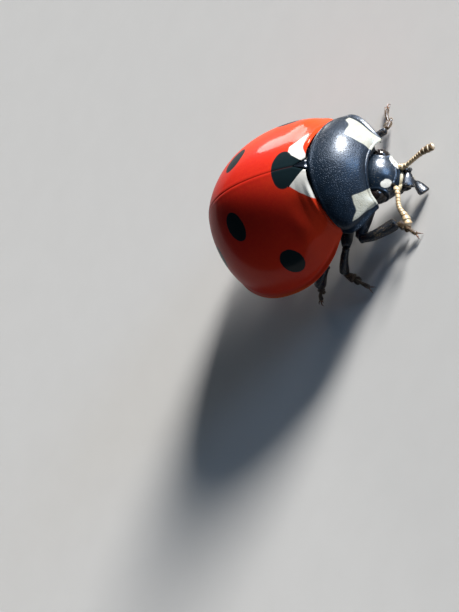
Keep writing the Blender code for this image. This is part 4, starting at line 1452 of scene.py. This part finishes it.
# ---------------------------------------------------------------- hairs
# Fine pale hairs on the legs, feelers, face, mouth and underside, and a golden brush on each foot. A node
# tree scatters bent, pointed hairs over each skin, leaning the way in which the skin's own rings lead.

# How much of the unwrap one hair's own patch takes, how far hairs stray from their way, and the share of a
# hair that is sunk in the skin.
HAIR_PATCH = 0.003
STRAY = 0.22
SUNK = 0.06


def scaled(vector, factor):
    entries = {0: vector, "Scale": factor}
    return out(add_node(vector.tree, "ShaderNodeVectorMath", entries, operation="SCALE"))


def summed(vector, other):
    return out(add_node(vector.tree, "ShaderNodeVectorMath", {0: vector, 1: other}, operation="ADD"))


def unit(vector):
    return out(add_node(vector.tree, "ShaderNodeVectorMath", {0: vector}, operation="NORMALIZE"))


def named(tree, name):
    node = add_node(tree, "GeometryNodeInputNamedAttribute", {"Name": name}, data_type="FLOAT_VECTOR")
    return out(node, "Attribute")


def stored(tree, geometry, name, value, kind="FLOAT_VECTOR", domain="POINT"):
    entries = {"Geometry": geometry, "Name": name, "Value": value}
    return out(add_node(tree, "GeometryNodeStoreNamedAttribute", entries, data_type=kind, domain=domain))


def random_in(tree, low, high, seed):
    node = add_node(tree, "FunctionNodeRandomValue", {}, data_type="FLOAT")
    entries = {socket.name: socket for socket in node.inputs if socket.enabled}
    for name, value in (("Min", low), ("Max", high), ("Seed", seed)):
        give(tree, entries[name], value)
    return Flow(tree, next(socket for socket in node.outputs if socket.enabled))


def hair_tree():
    sizes = {
        "Each square mm": 150.0,
        "Length": 0.08,
        "Half thickness": 0.004,
        "Lean": 0.7,
        "Bend": 0.3,
        "From": -0.1,
        "To": 1.1,
        "Facing up": 2.0,
        "Seed": 1,
    }
    tree, size = start_tree("hairs", sizes)
    # One hair: a three-sided point that bends forward as it rises.
    cone = {"Vertices": 3, "Side Segments": 3, "Radius Top": 0.0, "Radius Bottom": 1.0, "Depth": 1.0}
    hair = out(add_node(tree, "GeometryNodeMeshCone", cone), "Mesh")
    x, y, z = split(out(tree.nodes.new("GeometryNodeInputPosition")))
    hair = stored(tree, hair, "own", combined(x * 0.5 + 0.5, z, y * 0.5 + 0.5))
    length = size["Length"] * MM
    half = size["Half thickness"] * MM
    bent = combined(x * half + z * z * size["Bend"] * length, y * half, (z - SUNK) * length)
    hair = out(add_node(tree, "GeometryNodeSetPosition", {"Geometry": hair, "Position": bent}))
    # Its places on the skin: within a span of the unwrap, where the skin doesn't face up more than it may.
    across, _, _ = split(named(tree, "unwrap"))
    _, _, upward = split(out(tree.nodes.new("GeometryNodeInputNormal")))
    chosen = across.by("GREATER_THAN", size["From"]) * across.by("LESS_THAN", size["To"])
    chosen = chosen * upward.by("LESS_THAN", size["Facing up"])
    entries = {
        "Mesh": size["Geometry"],
        "Selection": chosen,
        "Density": size["Each square mm"] / MM**2,
        "Seed": size["Seed"],
    }
    scatter = add_node(tree, "GeometryNodeDistributePointsOnFaces", entries)
    roots = stored(tree, out(scatter, "Points"), "root", named(tree, "unwrap"))
    lie = unit(named(tree, "lie"))
    normal = out(scatter, "Normal")
    stray = combined(*(random_in(tree, -STRAY, STRAY, seed) for seed in (11, 12, 13)))
    way = summed(summed(scaled(normal, 1.0 - size["Lean"]), scaled(lie, size["Lean"])), stray)
    risen = add_node(tree, "FunctionNodeAlignRotationToVector", {"Vector": way}, axis="Z")
    entries = {"Rotation": out(risen), "Vector": lie}
    turned = add_node(tree, "FunctionNodeAlignRotationToVector", entries, axis="X", pivot_axis="Z")
    entries = {
        "Points": roots,
        "Instance": hair,
        "Rotation": out(turned),
        "Scale": random_in(tree, 0.6, 1.2, 14),
    }
    coat = out(add_node(tree, "GeometryNodeInstanceOnPoints", entries))
    coat = out(add_node(tree, "GeometryNodeRealizeInstances", {"Geometry": coat}))
    patch = summed(named(tree, "root"), scaled(named(tree, "own"), HAIR_PATCH))
    coat = stored(tree, coat, "OFBake", patch, "FLOAT2", "CORNER")
    # No hair reaches through the floor.
    x, y, z = split(out(tree.nodes.new("GeometryNodeInputPosition")))
    entries = {"Geometry": coat, "Position": combined(x, y, z.least(0.0))}
    end_tree(tree, size, out(add_node(tree, "GeometryNodeSetPosition", entries)))
    return tree


def hair_finish(name, root, tip):
    finish = Finish(name, roughness=0.42, coat=0.0)
    own = out(add_node(finish.tree, "ShaderNodeAttribute", {}, attribute_name="own"), "Vector")
    _, height, _ = split(own)
    patchy = noise(finish.here, 7.0, 2.0)
    finish.paint(mixed((height + patchy * 0.5 - 0.25).least(0.0).most(1.0), root, tip))
    finish.set("Roughness", patchy * 0.2 + 0.32)
    return finish.material


HAIR_TREE = hair_tree()
SILVER_HAIR = hair_finish("hair_silver", (0.12, 0.11, 0.09), (0.42, 0.40, 0.34))
GOLDEN_HAIR = hair_finish("hair_golden", (0.16, 0.10, 0.05), (0.52, 0.40, 0.22))


def grow_coat(name, skin, finish, slot, node, sizes, seed):
    base = skin.data.copy()
    coat = grow(name, HAIR_TREE, {"Finish": finish, "Seed": seed, **sizes}, base)
    bpy.data.meshes.remove(base)
    for spare in ("root", "unwrap", "lie", "id"):
        coat.data.attributes.remove(coat.data.attributes[spare])
    claim(coat, slot, node)


def hair_sizes(each_square_mm, length, half_thickness, lean, **others):
    sizes = {"Each square mm": each_square_mm, "Length": length, "Half thickness": half_thickness}
    return {**sizes, "Lean": lean, **others}


# The hairs of each part of a leg grow on its own span of the unwrap.
LEG_HAIRS = (
    ("thigh", "femur", SILVER_HAIR, hair_sizes(110.0, 0.055, 0.0028, 0.8, From=-0.1, To=0.34)),
    ("shin", "tibia", GOLDEN_HAIR, hair_sizes(240.0, 0.08, 0.003, 0.7, From=0.36, To=0.64)),
    ("foot", "tarsus", GOLDEN_HAIR, hair_sizes(560.0, 0.07, 0.0032, 0.6, From=0.71, To=1.1)),
)
for number, (leg_name, leg) in enumerate(legs.items()):
    for order, (part, solid, finish, sizes) in enumerate(LEG_HAIRS):
        node = "leg_" + leg_name + "_" + solid
        grow_coat(part + "_hairs_" + leg_name, leg, finish, "leg", node, sizes, number + 10 * order)

UNDERSIDE_HAIR = {**hair_sizes(110.0, 0.10, 0.004, 0.80), "Facing up": 0.1}
grow_coat("breast_hairs", breast, SILVER_HAIR, "underside", "thorax", UNDERSIDE_HAIR, 31)
grow_coat("abdomen_hairs", abdomen, SILVER_HAIR, "underside", "abdomen", UNDERSIDE_HAIR, 32)
grow_coat("front_body_hairs", prothorax, SILVER_HAIR, "underside", "prothorax", UNDERSIDE_HAIR, 33)
FACE_HAIR = hair_sizes(70.0, 0.055, 0.003, 0.75)
grow_coat("face_hairs", head, SILVER_HAIR, "head", "head", FACE_HAIR, 34)
MOUTH_HAIR = hair_sizes(260.0, 0.07, 0.0035, 0.62)
grow_coat("mouth_hairs", mouth, GOLDEN_HAIR, "mouthparts", "mouthparts", MOUTH_HAIR, 35)
FEELER_HAIR = hair_sizes(420.0, 0.06, 0.0035, 0.6)
for side_name in ("left", "right"):
    palp = palps[side_name]
    grow_coat("palp_hairs_" + side_name, palp, SILVER_HAIR, "mouthparts", "palp_" + side_name, MOUTH_HAIR, 36)
    feeler = feelers[side_name]
    node = "antenna_" + side_name
    grow_coat("feeler_hairs_" + side_name, feeler, GOLDEN_HAIR, "antenna", node, FEELER_HAIR, 38)

# ---------------------------------------------------------------- studio
# A plain pale floor that runs into an equally pale horizon, and three broad soft lights low on the animal's
# left and front left. The air above is dim, so that the side away from them stays dark.

FLOOR_TONE = (0.555, 0.56, 0.56)
FLOOR_RADIUS = 0.8
HORIZON_TONE = (0.583, 0.583, 0.575)
OVERHEAD_TONE = (0.025, 0.04, 0.055)
# Way towards each light, strength, how wide it looks in degrees, and colour.
LIGHTS = {
    "key_light": ((0.77, -0.57, 0.29), 10.5, 16.0, (1.0, 0.96, 0.91)),
    "front_light": ((0.40, -0.90, 0.17), 1.3, 20.0, (0.40, 0.64, 1.0)),
    "side_light": ((0.90, 0.42, 0.10), 1.6, 19.0, (1.0, 0.95, 0.92)),
}


def studio_floor():
    floor = bmesh.new()
    bmesh.ops.create_circle(floor, cap_ends=True, radius=FLOOR_RADIUS, segments=96)
    data = bpy.data.meshes.new("floor")
    floor.to_mesh(data)
    floor.free()
    material = bpy.data.materials.new("floor_paper")
    material.use_nodes = True
    tree = material.node_tree
    shader = tree.nodes["Principled BSDF"]
    at = out(tree.nodes.new("ShaderNodeTexCoord"), "Object")
    darker = tuple(part * 0.95 for part in FLOOR_TONE)
    tone = mixed(noise(at, 900.0, 4.0), FLOOR_TONE, darker)
    tree.links.new(tone.socket, shader.inputs["Base Color"])
    shader.inputs["Roughness"].default_value = 0.95
    shader.inputs["Specular IOR Level"].default_value = 0.0
    make_piece("floor", data, material)


def studio_air():
    """Pale at the level of the floor and dim above."""
    world = bpy.data.worlds.new("studio_air")
    world.use_nodes = True
    tree = world.node_tree
    _, _, height = split(out(tree.nodes.new("ShaderNodeTexCoord"), "Generated"))
    colour = mixed(height.step(0.075, 0.15), HORIZON_TONE, OVERHEAD_TONE)
    tree.links.new(colour.socket, tree.nodes["Background"].inputs["Color"])
    bpy.context.scene.world = world


def soft_light(name, way, strength, spread, colour):
    """A broad even light from far off."""
    light = bpy.data.lights.new(name, "SUN")
    light.angle = math.radians(spread)
    light.energy = strength
    light.color = colour
    lamp = put_in_scene(name, light)
    lamp.rotation_euler = Vector(way).to_track_quat("Z", "Y").to_euler()


studio_floor()
studio_air()
for light_name, settings in LIGHTS.items():
    soft_light(light_name, *settings)
bpy.context.scene.view_settings.view_transform = "Standard"

# ---------------------------------------------------------------- camera
# A long lens that looks down on the animal's front left side from about eleven centimetres, rolled so that
# the head points to the right. Its turns are in radians and its places in the animal's millimetres.

AZIMUTH = -0.559
ELEVATION = 0.679
ROLL = -1.205
DISTANCE = 109.0
AIM = Vector((0.0, 1.0, 2.15))
ASIDE = -2.406
ALOFT = -3.711
FOCAL_LENGTH = 208.4
SENSOR_WIDTH = 36.0
back = Vector(
    (
        math.sin(AZIMUTH) * math.cos(ELEVATION),
        -math.cos(AZIMUTH) * math.cos(ELEVATION),
        math.sin(ELEVATION),
    )
)
level_right = Vector((0.0, 0.0, 1.0)).cross(back).normalized()
level_up = back.cross(level_right)
right = level_right * math.cos(ROLL) + level_up * math.sin(ROLL)
up = level_up * math.cos(ROLL) - level_right * math.sin(ROLL)
lens = bpy.data.cameras.new("camera")
lens.sensor_width = SENSOR_WIDTH
lens.lens = FOCAL_LENGTH
lens.clip_start = 0.001
lens.clip_end = 10.0
camera = put_in_scene("camera", lens)
turned = Matrix((right, up, back)).transposed().to_4x4()
place = TO_PLACE @ (AIM + back * DISTANCE + right * ASIDE + up * ALOFT)
camera.matrix_world = Matrix.Translation(place) @ turned
bpy.context.scene.camera = camera
